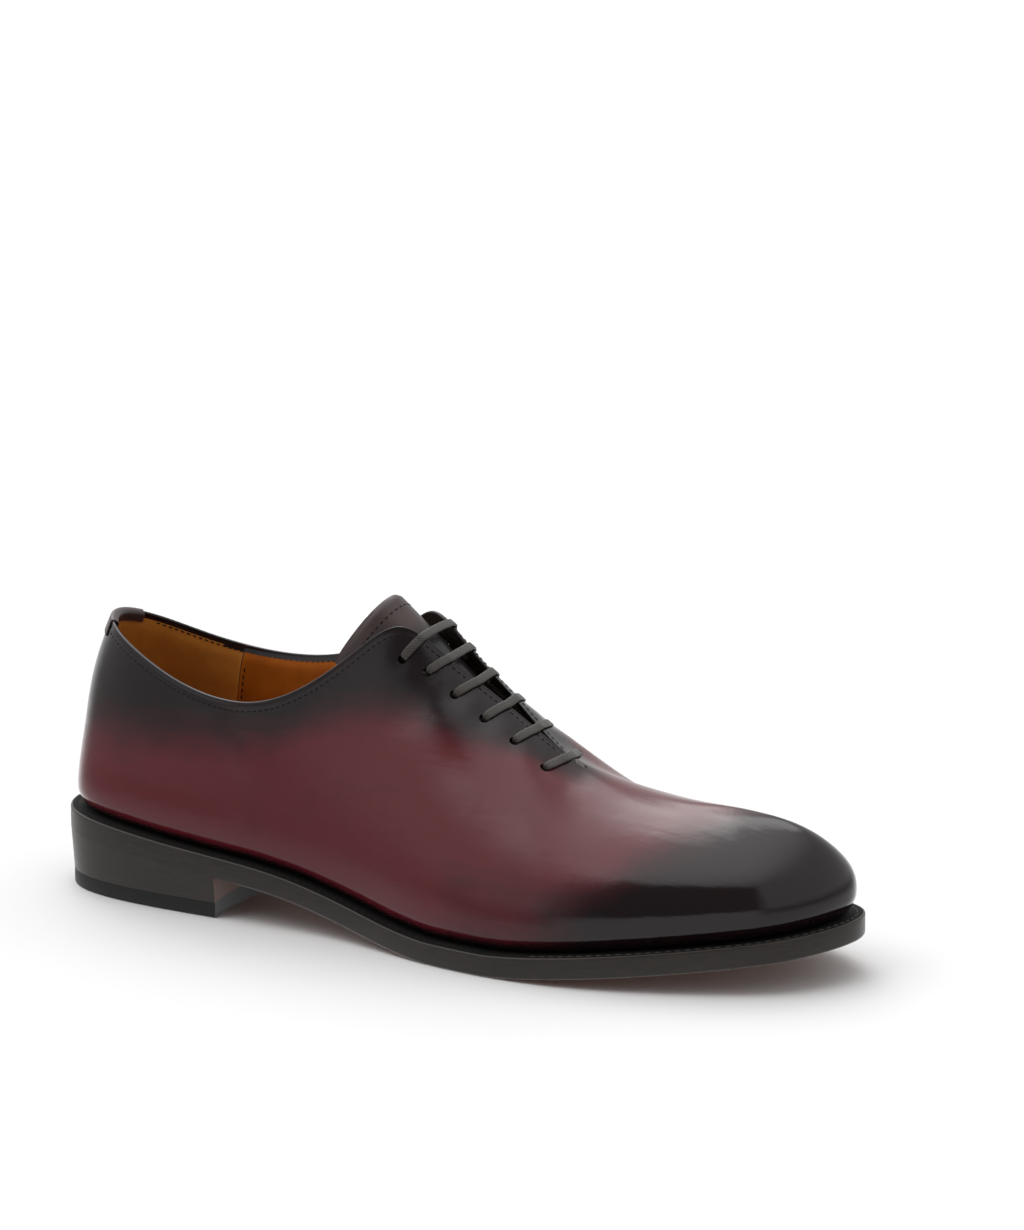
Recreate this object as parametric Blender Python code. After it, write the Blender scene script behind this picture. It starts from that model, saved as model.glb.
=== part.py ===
"""Plain-toe oxford, right shoe, as an assembly of separate solids.

Metres, +X to the toe, -Y to the outer (lateral) side, +Z up, standing on Z = 0.
The last is described by stations along the sole edge: station 0 is the back of the heel, the last
station is the toe, and the loop then runs back along the inner (medial) side.
"""
import bmesh
import bpy
import numpy as np
from mathutils import Vector
from mathutils.geometry import tessellate_polygon

MM = 0.001

# Fit and thicknesses
GAP = 0.0003
UPPER_WALL = 0.0022
OUTSOLE_THICK = 0.0045
WELT_THICK = 0.0027
WELT_TOP = OUTSOLE_THICK + GAP + WELT_THICK
INSOLE_THICK = 0.0030
TONGUE_THICK = 0.0016
TAB_THICK = 0.0009

# Sole and heel
EDGE_BEVEL = 0.0008
WELT_STEP = 0.0005
WELT_WIDTH = 0.0150
INSOLE_INSET = 0.0085
HEEL_BREAST_X = 0.0780
BREAST_HOLLOW = 0.0045
HEEL_TAPER = 0.0010
LIFT_THICK = 0.0055

# Roll of the upper where it is turned in on the welt
FEATHER_OUT = 0.0030
FEATHER_UP = 0.0006
ROLL_OUT = 0.0050
ROLL_UP = 0.0070

# Lacing: six pairs of punched holes, counted from the top
HOLE_PAIRS = 6
HOLE_RADIUS = 0.0020
HOLE_DEPTH = 0.0050
FIRST_BAR_STATION = 7.45
LAST_BAR_STATION = 10.05
HOLE_STATION_BACK = 0.51
FIRST_HOLE_HEIGHT = 0.942
LAST_HOLE_HEIGHT = 0.894
LACE_WIDTH = 0.0034
LACE_THICK = 0.0011
LACE_CLEAR = 0.0008

# Heel tab that wraps the top of the back seam
TAB_STATIONS = 0.85
TAB_OUTSIDE_HEIGHT = 0.966
TAB_INSIDE_HEIGHT = 0.970

# Instep line: the straight run of the two facings, from the throat up to the ankle
INSTEP_SLOPE = np.array([-0.827, 0.0, 0.562])
INSTEP_NORMAL = np.array([0.562, 0.0, 0.827])

# Mesh density: steps from station to station, and points along and across the small pieces
SOLE_STEPS = 3
UPPER_STEPS = 4
UPPER_ROWS = 12
PLAN_STEPS = 40
HEEL_POINTS = 33
BREAST_POINTS = 11
HOLE_SIDES = 12
TAB_COLUMNS = 17
TAB_ROWS = 4
TONGUE_SECTIONS = 14
TONGUE_POINTS = 13
BAR_POINTS = 6
SHARP_ANGLE = np.radians(40)

# Sole edge, a row for each station (mm): x, lateral y, medial y
SOLE = MM * np.array([
    (0, 0, 0),
    (10, -22.5, 22.5),
    (34, -32.5, 32),
    (61, -35, 32),
    (88, -35.5, 29),
    (114, -36, 26.5),
    (139, -39.5, 28),
    (163, -45.5, 35),
    (187, -49.5, 43),
    (211, -50, 48.5),
    (235, -46, 50),
    (258, -38, 47),
    (279, -28, 40),
    (295, -13.5, 29),
    (303, 10.5, 10.5),
])

# Underside of the outsole along the shoe (mm): x, z. Below zero it is the flat tread
TREAD = MM * np.array([
    (0, 21),
    (31, 19),
    (62, 16),
    (100, 12),
    (128, 6.5),
    (152, 1.8),
    (170, 0),
    (194, 0),
    (212, 1.5),
    (232, 3.8),
    (265, 7.8),
    (303, 13),
])

# Top line of the upper, a row for each station (mm): x, lateral y, lateral z, medial y, medial z
# The collar runs to station 6, the facing corner is 7, the throat ends at 10, then the closed ridge
TOP = MM * np.array([
    (16.5, 0, 97, 0, 97),
    (23.5, -14.5, 94.5, 15, 92.5),
    (41, -23, 87, 23, 86),
    (64, -27.5, 79, 26.5, 82),
    (88, -27.5, 76.5, 26, 83),
    (109, -24, 84, 23, 89.5),
    (126.5, -18, 97.5, 17.5, 99.5),
    (141, -12, 106, 11.5, 107),
    (157.5, -7, 95.5, 6.5, 97),
    (177, -3, 81.5, 2.5, 82.5),
    (196.5, 0, 67.5, 0, 67.5),
    (215.5, 2, 58.5, 2, 58.5),
    (235, 4, 55, 4, 55),
    (253, 6.5, 54, 6.5, 54),
    (268.5, 8.5, 52.5, 8.5, 52.5),
])
FACING_STATION = 7
THROAT_STATION = 10

# Section of the upper, a row for each station (mm):
# inset of the feather line, side out, side up, shoulder out, shoulder down
SECTION = MM * np.array([
    (6.5, 0.5, 31, 9.5, 19),
    (6.5, 0.5, 28, 6.5, 18),
    (7, 1.5, 27, 4, 18),
    (7, 2, 27.5, 3, 16),
    (7, 2, 29.5, 3.5, 16),
    (7, 2, 32.5, 5.5, 18),
    (7, 2, 35, 8, 20),
    (7, 1.5, 36, 10, 18),
    (7, 1, 34.5, 12, 13),
    (7, 1, 31.5, 13, 9),
    (7, 1.5, 28.5, 13.5, 3),
    (7, 2, 26, 14, 0),
    (7, 2.5, 23, 14.5, 0),
    (7, 2.5, 21, 14.5, 0),
    (7, 3, 20, 15, 0),
])

# Tongue, a row for each section (mm, degrees): distance up the instep line from the throat,
# height of the crest over that line, half width, depth, half wrap
TONGUE = np.array([
    (-6, -2.7, 12, 10, 70),
    (12, -2.9, 13, 12, 72),
    (30, -2.7, 14, 15, 73),
    (50, -1.1, 14.5, 18.5, 74),
    (66, 0.5, 14.5, 21, 75),
    (81, 1.8, 14.8, 24, 76),
])

LAST_STATION = len(SOLE) - 1
LOOP = 2 * LAST_STATION


# Splines


def both_sides(lateral, medial):
    """Rows of a closed loop: lateral from heel to toe, then medial from toe to heel."""
    return np.concatenate([lateral, medial[-2:0:-1]])


def loop_spline(rows, at):
    """Closed uniform cubic B-spline that passes through the rows."""
    count = len(rows)
    weights = np.eye(count) * 4 / 6
    weights += (np.roll(np.eye(count), 1, axis=0) + np.roll(np.eye(count), -1, axis=0)) / 6
    control = np.linalg.solve(weights, rows)
    start = np.floor(at).astype(int)
    f = (at - start)[:, None]
    basis = ((1 - f) ** 3, 3 * f**3 - 6 * f**2 + 4, -3 * f**3 + 3 * f**2 + 3 * f + 1, f**3)
    return sum(basis[k] / 6 * control[(start + k - 1) % count] for k in range(4))


def line_spline(table, at):
    """Natural cubic spline through rows of (position, values...)."""
    position, values = table[:, 0], table[:, 1:]
    count = len(position)
    step = np.diff(position)
    system = np.eye(count)
    right = np.zeros_like(values)
    for i in range(1, count - 1):
        system[i, i - 1:i + 2] = step[i - 1], 2 * (step[i - 1] + step[i]), step[i]
        right[i] = 6 * ((values[i + 1] - values[i]) / step[i] - (values[i] - values[i - 1]) / step[i - 1])
    bend = np.linalg.solve(system, right)
    i = np.clip(np.searchsorted(position, at) - 1, 0, count - 2)
    after = (at - position[i])[:, None]
    before = (position[i + 1] - at)[:, None]
    h = step[i][:, None]
    return ((bend[i] * before**3 + bend[i + 1] * after**3) / (6 * h)
            + (values[i] / h - bend[i] * h / 6) * before
            + (values[i + 1] / h - bend[i + 1] * h / 6) * after)


def clamped_basis(at, count=6, degree=3):
    """Weights of a cubic B-spline that starts and ends on its first and last control point."""
    knots = np.concatenate([np.zeros(degree), np.linspace(0, 1, count - degree + 1), np.ones(degree)])
    at = np.clip(at, 0, 1 - 1e-9)[:, None]
    basis = ((at >= knots[:-1]) & (at < knots[1:])).astype(float)
    for d in range(1, degree + 1):
        rise = knots[d:-1] - knots[:-d - 1]
        fall = knots[d + 1:] - knots[1:-d]
        up = np.where(rise > 0, (at - knots[:-d - 1]) / np.where(rise > 0, rise, 1), 0)
        down = np.where(fall > 0, (knots[d + 1:] - at) / np.where(fall > 0, fall, 1), 0)
        basis = up * basis[:, :-1] + down * basis[:, 1:]
    return basis


# The last


def unit(vectors):
    return vectors / np.linalg.norm(vectors, axis=-1, keepdims=True)


def sole_edge(at):
    """Plan of the sole edge and its outward normal at stations of the loop."""
    rows = both_sides(SOLE[:, [0, 1]], SOLE[:, [0, 2]])
    nudge = 0.001
    along = unit(loop_spline(rows, (at + nudge) % LOOP) - loop_spline(rows, (at - nudge) % LOOP))
    return loop_spline(rows, at), np.column_stack([along[:, 1], -along[:, 0]])


def tread_height(x):
    """Height of the outsole's underside: arch, flat tread at the ball, toe spring."""
    return np.maximum(line_spline(TREAD, x)[:, 0], 0)


def level_loop(at, inset, rise):
    """Loop inside the sole edge, at a height over the underside of the outsole."""
    plan, out = sole_edge(at)
    plan = plan - out * inset
    return np.column_stack([plan, tread_height(plan[:, 0]) + rise])


def top_line(at):
    """Top line of the upper; both sides share the ridge in front of the throat."""
    rows = both_sides(TOP[:, [0, 1, 2]], TOP[:, [0, 3, 4]])
    here = loop_spline(rows, at)
    across = loop_spline(rows, (LOOP - at) % LOOP)
    closed = np.minimum(at, LOOP - at) >= THROAT_STATION
    return np.where(closed[:, None], (here + across) / 2, here)


def ridge_slope(at):
    """Rise of the ridge for each metre towards the toe, zero along the open collar and throat."""
    station = np.minimum(at, LOOP - at)
    nudge = 0.02
    station_in = np.clip(station, 0, LAST_STATION - 2 * nudge)
    step = top_line(station_in + nudge) - top_line(station_in - nudge)
    share = np.clip(station - THROAT_STATION + 1, 0, 1)
    return share**2 * (3 - 2 * share) * step[:, 2] / np.where(share > 0, step[:, 0], 1)


def upper_controls(at):
    """Six control points of the upper's section at each station, from feather line to top line."""
    plan, out = sole_edge(at)
    rows = both_sides(SECTION, SECTION)
    inset, side_out, side_up, shoulder_out, shoulder_down = loop_spline(rows, at).T[:, :, None]
    plan = plan - out * inset
    feather = np.column_stack([plan, tread_height(plan[:, 0]) + WELT_TOP + GAP])
    top = top_line(at)
    flat = np.zeros((len(at), 1))
    out = np.hstack([out, flat])
    side = np.hstack([unit(plan - top[:, :2]), flat])
    up = np.array([[0.0, 0.0, 1.0]])
    fall = shoulder_down - ridge_slope(at)[:, None] * side[:, :1] * shoulder_out
    return np.stack([
        feather,
        feather + out * FEATHER_OUT + up * FEATHER_UP,
        feather + out * ROLL_OUT + up * ROLL_UP,
        feather + out * side_out + up * side_up,
        top + side * shoulder_out - up * fall,
        top,
    ])


def upper_points(at, height):
    """Points of the upper's outer face at paired stations and heights (0 feather, 1 top line)."""
    return np.einsum("nk,knc->nc", clamped_basis(height), upper_controls(at))


def upper_normals(at, height):
    """Outward normals of the upper's outer face at paired stations and heights."""
    nudge = 0.01
    low = np.clip(height, 2 * nudge, 1 - 2 * nudge)
    along = upper_points((at + nudge) % LOOP, low) - upper_points((at - nudge) % LOOP, low)
    rising = upper_points(at, low + nudge) - upper_points(at, low - nudge)
    return unit(np.cross(along, rising))


# Mesh helpers


def plan_centre():
    """Middle of the sole edge's box, which becomes the origin."""
    plan, _ = sole_edge(np.linspace(0, LOOP, LOOP * PLAN_STEPS, endpoint=False))
    return np.append((plan.min(axis=0) + plan.max(axis=0)) / 2, 0)


ORIGIN = plan_centre()


def add_object(name, points, faces, material, smooth=True):
    """Mesh object from points in the last's frame, with faces turned outward."""
    mesh = bpy.data.meshes.new(name)
    bm = bmesh.new()
    corners = [bm.verts.new(p) for p in np.asarray(points) - ORIGIN]
    for face in faces:
        bm.faces.new([corners[i] for i in face])
    bmesh.ops.recalc_face_normals(bm, faces=bm.faces)
    for face in bm.faces:
        face.smooth = smooth
    bm.to_mesh(mesh)
    bm.free()
    mesh.materials.append(material)
    if smooth:
        mesh.set_sharp_from_angle(angle=SHARP_ANGLE)
    obj = bpy.data.objects.new(name, mesh)
    bpy.context.scene.collection.objects.link(obj)
    return obj


def band_faces(first, second, closed=True):
    """Quads between two equal runs of point numbers."""
    count = len(first) if closed else len(first) - 1
    following = [(i + 1) % len(first) for i in range(count)]
    return [(first[i], first[j], second[j], second[i]) for i, j in enumerate(following)]


def ladder_faces(loop):
    """Cap of a loop that starts at the heel: rungs join the lateral and the medial side."""
    count = len(loop)
    half = count // 2
    faces = [(loop[0], loop[1], loop[-1]), (loop[half - 1], loop[half], loop[half + 1])]
    faces += [(loop[i], loop[i + 1], loop[count - i - 1], loop[count - i]) for i in range(1, half - 1)]
    return faces


def plan_faces(loop, points):
    """Cap of any plan loop, in triangles."""
    flat = [Vector((points[i][0], points[i][1], 0)) for i in loop]
    return [tuple(loop[i] for i in triangle) for triangle in tessellate_polygon([flat])]


def stacked_solid(name, loops, material, ladder=True):
    """Closed solid from equal loops stacked from top to bottom."""
    points = np.concatenate(loops)
    count = len(loops[0])
    numbers = [list(range(k * count, (k + 1) * count)) for k in range(len(loops))]
    faces = []
    for upper_loop, lower_loop in zip(numbers, numbers[1:]):
        faces += band_faces(upper_loop, lower_loop)
    for loop in (numbers[0], numbers[-1]):
        faces += ladder_faces(loop) if ladder else plan_faces(loop, points)
    return add_object(name, points, faces, material)


def swept_solid(name, sections, material):
    """Closed solid through equal sections in a row, with capped ends."""
    count = len(sections[0])
    numbers = [list(range(k * count, (k + 1) * count)) for k in range(len(sections))]
    faces = [tuple(numbers[0]), tuple(numbers[-1])]
    for here, following in zip(numbers, numbers[1:]):
        faces += band_faces(here, following)
    return add_object(name, np.concatenate(sections), faces, material)


# Materials


def make_material(name, colour, roughness, metallic=0.0):
    material = bpy.data.materials.new(name)
    material.use_nodes = True
    shader = material.node_tree.nodes["Principled BSDF"]
    shader.inputs["Base Color"].default_value = (*colour, 1.0)
    shader.inputs["Roughness"].default_value = roughness
    shader.inputs["Metallic"].default_value = metallic
    return material


# Sole


def sole_stations():
    return np.arange(LOOP * SOLE_STEPS) / SOLE_STEPS


def build_outsole():
    """Leather outsole: full outline, arch, flat tread, toe spring, bevelled lower edge."""
    at = sole_stations()
    loops = [
        level_loop(at, 0, OUTSOLE_THICK),
        level_loop(at, 0, EDGE_BEVEL),
        level_loop(at, EDGE_BEVEL, 0),
    ]
    return stacked_solid("outsole", loops, make_material("sole_leather", (0.030, 0.016, 0.012), 0.45))


def build_welt():
    """Welt all round, set back a little from the outsole's edge."""
    at = sole_stations()
    low = OUTSOLE_THICK + GAP
    loops = [
        level_loop(at, WELT_STEP, low),
        level_loop(at, WELT_STEP, WELT_TOP),
        level_loop(at, WELT_WIDTH, WELT_TOP),
        level_loop(at, WELT_WIDTH, low),
    ]
    count = len(at)
    numbers = [list(range(k * count, (k + 1) * count)) for k in range(4)]
    faces = []
    for k in range(4):
        faces += band_faces(numbers[k], numbers[(k + 1) % 4])
    welt_leather = make_material("welt_leather", (0.010, 0.009, 0.009), 0.35)
    return add_object("welt", np.concatenate(loops), faces, welt_leather)


def build_insole():
    """Footbed inside the upper, with the filling between the welt and the outsole."""
    at = sole_stations()
    loops = [
        level_loop(at, INSOLE_INSET, WELT_TOP + GAP + INSOLE_THICK),
        level_loop(at, INSOLE_INSET, WELT_TOP + GAP),
        level_loop(at, WELT_WIDTH + GAP, WELT_TOP + GAP),
        level_loop(at, WELT_WIDTH + GAP, OUTSOLE_THICK + GAP),
    ]
    return stacked_solid("insole", loops, make_material("insole_leather", (0.36, 0.16, 0.045), 0.5))


def heel_loop(inset):
    """Plan of the heel: the sole edge back from a hollow breast."""
    steps = np.linspace(0, LAST_STATION, LAST_STATION * PLAN_STEPS)
    breast = np.interp(HEEL_BREAST_X, sole_edge(steps)[0][:, 0], steps)
    side = np.linspace(-breast, breast, HEEL_POINTS)
    plan, out = sole_edge(side % LOOP)
    plan = plan - out * inset
    across = np.linspace(-1, 1, BREAST_POINTS)[1:-1, None]
    straight = (plan[:1] * (1 - across) + plan[-1:] * (1 + across))[::-1] / 2
    hollow = straight - np.hstack([BREAST_HOLLOW * (1 - across**2), 0 * across])
    return np.concatenate([plan, hollow])


def build_heel():
    """Stacked heel between the outsole and the top lift."""
    top = heel_loop(0)
    bottom = heel_loop(HEEL_TAPER)
    loops = [
        np.column_stack([top, tread_height(top[:, 0]) - GAP]),
        np.column_stack([bottom, np.full(len(bottom), LIFT_THICK + GAP)]),
    ]
    heel_stack = make_material("heel_stack", (0.018, 0.014, 0.010), 0.4)
    return stacked_solid("heel", loops, heel_stack, ladder=False)


def build_top_lift():
    """Wearing layer of the heel, flat on the floor."""
    plan = heel_loop(HEEL_TAPER)
    loops = [np.column_stack([plan, np.full(len(plan), z)]) for z in (LIFT_THICK, 0.0)]
    lift_rubber = make_material("lift_rubber", (0.012, 0.012, 0.012), 0.6)
    return stacked_solid("top_lift", loops, lift_rubber, ladder=False)


# Upper


def upper_grid():
    """Outer face of the upper as points and quads, both sides joined along the ridge."""
    columns = LOOP * UPPER_STEPS
    at = np.arange(columns) / UPPER_STEPS
    heights = np.linspace(0, 1, UPPER_ROWS + 1)
    grid = np.stack([upper_points(at, np.full(columns, h)) for h in heights], axis=1)
    number = np.arange(grid.shape[0] * grid.shape[1]).reshape(grid.shape[:2])
    joined = (at > LAST_STATION) & (LOOP - at >= THROAT_STATION)
    number[joined, -1] = number[(columns - np.arange(columns)) % columns, -1][joined]
    used, number = np.unique(number, return_inverse=True)
    number = number.reshape(grid.shape[:2])
    following = np.roll(number, -1, axis=0)
    quads = np.stack([number[:, :-1], following[:, :-1], following[:, 1:], number[:, 1:]], axis=-1)
    return grid.reshape(-1, 3)[used], quads.reshape(-1, 4)


def point_normals(points, quads):
    """Area-weighted normals of a grid of quads."""
    a, b, c, d = (points[quads[:, k]] for k in range(4))
    face = np.cross(c - a, d - b)
    normals = np.zeros_like(points)
    for k in range(4):
        np.add.at(normals, quads[:, k], face)
    return unit(normals)


def border_edges(quads):
    """Edges with a face on one side only."""
    edges = np.concatenate([quads[:, [k, (k + 1) % 4]] for k in range(4)])
    _, first, count = np.unique(np.sort(edges, axis=1), axis=0, return_index=True, return_counts=True)
    return edges[first[count == 1]]


def hole_places():
    """Station and height of each lace hole, lateral and medial, from the top pair down."""
    bars = np.linspace(FIRST_BAR_STATION, LAST_BAR_STATION, HOLE_PAIRS)
    heights = np.linspace(FIRST_HOLE_HEIGHT, LAST_HOLE_HEIGHT, HOLE_PAIRS)
    lateral = bars - HOLE_STATION_BACK
    return bars, lateral, heights


def hole_cutter():
    """Punches for the lace holes, square to the leather."""
    _, lateral, heights = hole_places()
    at = np.concatenate([lateral, LOOP - lateral])
    heights = np.tile(heights, 2)
    bm = bmesh.new()
    for centre, normal in zip(upper_points(at, heights) - ORIGIN, upper_normals(at, heights)):
        turn = Vector(normal).to_track_quat("Z", "Y").to_matrix().to_4x4()
        turn.translation = Vector(centre)
        bmesh.ops.create_cone(bm, cap_ends=True, segments=HOLE_SIDES, radius1=HOLE_RADIUS,
                              radius2=HOLE_RADIUS, depth=2 * HOLE_DEPTH, matrix=turn)
    mesh = bpy.data.meshes.new("hole_cutter")
    bm.to_mesh(mesh)
    bm.free()
    cutter = bpy.data.objects.new("hole_cutter", mesh)
    bpy.context.scene.collection.objects.link(cutter)
    cutter.hide_render = True
    cutter.display_type = "WIRE"
    return cutter


def build_upper():
    """One-piece upper: a hollow wall over the last, open at the collar, the throat and underneath."""
    outer, quads = upper_grid()
    inner = outer - point_normals(outer, quads) * UPPER_WALL
    count = len(outer)
    throat = (outer[:, 0] > TOP[FACING_STATION, 0]) & (outer[:, 0] < TOP[THROAT_STATION, 0])
    side = np.sign(outer[:, 1])
    inner[throat, 1] = (side * np.maximum(side * inner[:, 1], GAP))[throat]
    faces = [tuple(q) for q in quads]
    faces += [tuple(q[::-1] + count) for q in quads]
    faces += [(b, a, a + count, b + count) for a, b in border_edges(quads)]
    calf = make_material("burgundy_calf", (0.085, 0.018, 0.022), 0.3)
    upper = add_object("upper", np.concatenate([outer, inner]), faces, calf)
    punch = upper.modifiers.new("lace_holes", "BOOLEAN")
    punch.operation = "DIFFERENCE"
    punch.solver = "EXACT"
    punch.object = hole_cutter()
    return upper


def build_heel_tab():
    """Small leather tab folded over the collar at the back seam."""
    at = np.linspace(-TAB_STATIONS, TAB_STATIONS, TAB_COLUMNS) % LOOP
    outside = np.linspace(TAB_OUTSIDE_HEIGHT, 1, TAB_ROWS)
    inside = np.linspace(1, TAB_INSIDE_HEIGHT, TAB_ROWS)
    rise = np.array([0.0, 0.0, 1.0])

    def face_run(heights, offset, lift):
        normals = [upper_normals(at, np.full(len(at), h)) for h in heights]
        points = [upper_points(at, np.full(len(at), h)) for h in heights]
        run = [p + n * offset for p, n in zip(points, normals)]
        run[int(np.argmax(heights))] += rise * lift
        return run

    near = GAP
    far = GAP + TAB_THICK
    skin = face_run(outside, far, far) + face_run(inside, -UPPER_WALL - far, far)
    bed = face_run(outside, near, near) + face_run(inside, -UPPER_WALL - near, near)
    sections = np.stack(skin + bed[::-1], axis=1)
    return swept_solid("heel_tab", list(sections), make_material("tab_calf", (0.030, 0.014, 0.012), 0.35))


# Tongue and laces


def build_tongue():
    """Tongue: a thin arched flap that follows the instep line under the facings."""
    along = np.linspace(TONGUE[0, 0], TONGUE[-1, 0], TONGUE_SECTIONS)
    crest, half_width, depth, wrap = line_spline(TONGUE, along).T
    throat = top_line(np.array([float(THROAT_STATION)]))[0]
    turn = np.linspace(-1, 1, TONGUE_POINTS)
    sections = []
    for k, distance in enumerate(along * MM):
        angle = np.radians(wrap[k]) * turn
        middle = throat + INSTEP_SLOPE * distance + INSTEP_NORMAL * crest[k] * MM
        faces = []
        for skin in (0.0, TONGUE_THICK):
            drop = skin + (depth[k] * MM - skin) * (1 - np.cos(angle))
            width = (half_width[k] * MM - skin) * np.sin(angle)
            faces.append(middle - np.outer(drop, INSTEP_NORMAL) + np.outer(width, (0, 1, 0)))
        sections.append(np.concatenate([faces[0], faces[1][::-1]]))
    return swept_solid("tongue", sections, make_material("tongue_calf", (0.032, 0.014, 0.014), 0.4))


def lace_section(centre, across, normal):
    """Flat lace section: eight corners round a point."""
    half = LACE_WIDTH / 2
    thick = LACE_THICK / 2
    corners = [(1, 0.4), (0.75, 1), (-0.75, 1), (-1, 0.4), (-1, -0.4), (-0.75, -1), (0.75, -1), (1, -0.4)]
    return np.array([centre + across * half * u + normal * thick * v for u, v in corners])


def build_lace_bars():
    """Six straight lace bars that lie on the facings from hole to hole."""
    cord = make_material("waxed_lace", (0.055, 0.045, 0.042), 0.6)
    bars, holes, heights = hole_places()
    share = np.linspace(0, 1, BAR_POINTS)
    lift = LACE_CLEAR + LACE_THICK / 2
    objects = []
    for k in range(HOLE_PAIRS):
        at = holes[k] + (bars[k] - holes[k]) * share
        height = heights[k] + (1 - heights[k]) * share
        lateral = upper_points(at, height) + upper_normals(at, height) * lift
        medial = upper_points(LOOP - at, height) + upper_normals(LOOP - at, height) * lift
        path = np.concatenate([lateral, medial[::-1]])
        along = unit(np.gradient(path, axis=0))
        normal = unit(np.cross(along, np.cross(INSTEP_NORMAL, along)))
        across = np.cross(along, normal)
        sections = [lace_section(*frame) for frame in zip(path, across, normal)]
        objects.append(swept_solid(f"lace_bar_{k + 1}", sections, cord))
    return objects


def main():
    for obj in list(bpy.data.objects):
        bpy.data.objects.remove(obj, do_unlink=True)
    build_outsole()
    build_welt()
    build_insole()
    build_heel()
    build_top_lift()
    build_upper()
    build_heel_tab()
    build_tongue()
    build_lace_bars()


main()
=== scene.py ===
# %% [markdown]
# # A plain-toe oxford, dressed in Blender
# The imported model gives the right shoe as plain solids. This lesson lays the fine pieces over them: a
# one-piece calf upper with its hand-rubbed colour, the lining, the lace, the seams, the welt and the sole.
# They could be sculpted, but here every shape comes from short tables and curves, so that each size can be
# read and changed. Everything is in metres, with the toe along +X, the outer side of the foot along -Y and
# the floor at Z = 0.

import bmesh
import bpy
import numpy as np
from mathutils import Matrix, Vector
from mathutils.geometry import tessellate_polygon
from mathutils.kdtree import KDTree


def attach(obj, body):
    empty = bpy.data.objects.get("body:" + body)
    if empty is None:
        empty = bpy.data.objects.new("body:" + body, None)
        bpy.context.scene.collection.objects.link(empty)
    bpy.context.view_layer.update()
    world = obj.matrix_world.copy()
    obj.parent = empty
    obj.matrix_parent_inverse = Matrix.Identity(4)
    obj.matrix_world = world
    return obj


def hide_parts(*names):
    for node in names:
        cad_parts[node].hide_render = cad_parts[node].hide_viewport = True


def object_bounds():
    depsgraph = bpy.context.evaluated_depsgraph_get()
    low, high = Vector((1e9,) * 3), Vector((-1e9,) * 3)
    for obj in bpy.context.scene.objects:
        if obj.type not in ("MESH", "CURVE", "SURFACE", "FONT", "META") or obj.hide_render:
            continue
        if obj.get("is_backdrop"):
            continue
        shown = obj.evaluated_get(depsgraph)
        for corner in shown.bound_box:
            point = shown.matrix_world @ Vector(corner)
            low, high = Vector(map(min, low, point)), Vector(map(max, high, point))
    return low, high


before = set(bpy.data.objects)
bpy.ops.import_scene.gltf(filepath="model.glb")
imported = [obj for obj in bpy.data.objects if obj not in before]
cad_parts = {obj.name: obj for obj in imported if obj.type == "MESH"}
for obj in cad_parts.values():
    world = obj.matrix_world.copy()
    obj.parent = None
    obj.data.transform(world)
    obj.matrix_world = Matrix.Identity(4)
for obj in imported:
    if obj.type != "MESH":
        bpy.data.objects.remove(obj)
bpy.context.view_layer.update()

# %% [markdown]
# ## Camera
# The shoe is seen from the front outer quarter, a little from above. A short lens close by would swell the
# toe, so a long lens stands far off, as in a catalogue. The aim point lies above the shoe, because the shoe
# sits low in the picture.

# %% Camera
EYE = Vector((0.7553, -1.2751, 0.4229))
AIM = Vector((0.0090, 0.0292, 0.1047))
LENS_MM = 130.1
SENSOR_MM = 36.0
lens = bpy.data.cameras.new("camera")
lens.lens = LENS_MM
lens.sensor_width = SENSOR_MM
camera = bpy.data.objects.new("camera", lens)
camera.location = EYE
camera.rotation_euler = (AIM - EYE).to_track_quat("-Z", "Y").to_euler()
bpy.context.scene.collection.objects.link(camera)
bpy.context.scene.camera = camera
print("camera is", round((AIM - EYE).length, 3), "m from its aim")

# %% [markdown]
# ## The last
# A shoe is pulled over a last, so the last comes first. It could be modelled as one smooth body, but short
# tables are easier to check: one row for each of fifteen stations from the heel to the toe gives the sole
# edge, the top line and the section between them. The same tables shape the solids, so the fine pieces land
# where the solids are.

# %% Tables of the last
MM = 0.001
GAP = 0.3 * MM
UPPER_WALL = 2.2 * MM
WELT_TOP = 7.5 * MM
INSOLE_THICK = 3.0 * MM

# Sole edge, a row for each station (mm): x, lateral y, medial y
SOLE = MM * np.array([
    (0, 0, 0),
    (10, -22.5, 22.5),
    (34, -32.5, 32),
    (61, -35, 32),
    (88, -35.5, 29),
    (114, -36, 26.5),
    (139, -39.5, 28),
    (163, -45.5, 35),
    (187, -49.5, 43),
    (211, -50, 48.5),
    (235, -46, 50),
    (258, -38, 47),
    (279, -28, 40),
    (295, -13.5, 29),
    (303, 10.5, 10.5),
])

# Underside of the outsole along the shoe (mm): x, z
TREAD = MM * np.array([
    (0, 21),
    (31, 19),
    (62, 16),
    (100, 12),
    (128, 6.5),
    (152, 1.8),
    (170, 0),
    (194, 0),
    (212, 1.5),
    (232, 3.8),
    (265, 7.8),
    (303, 13),
])

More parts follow.
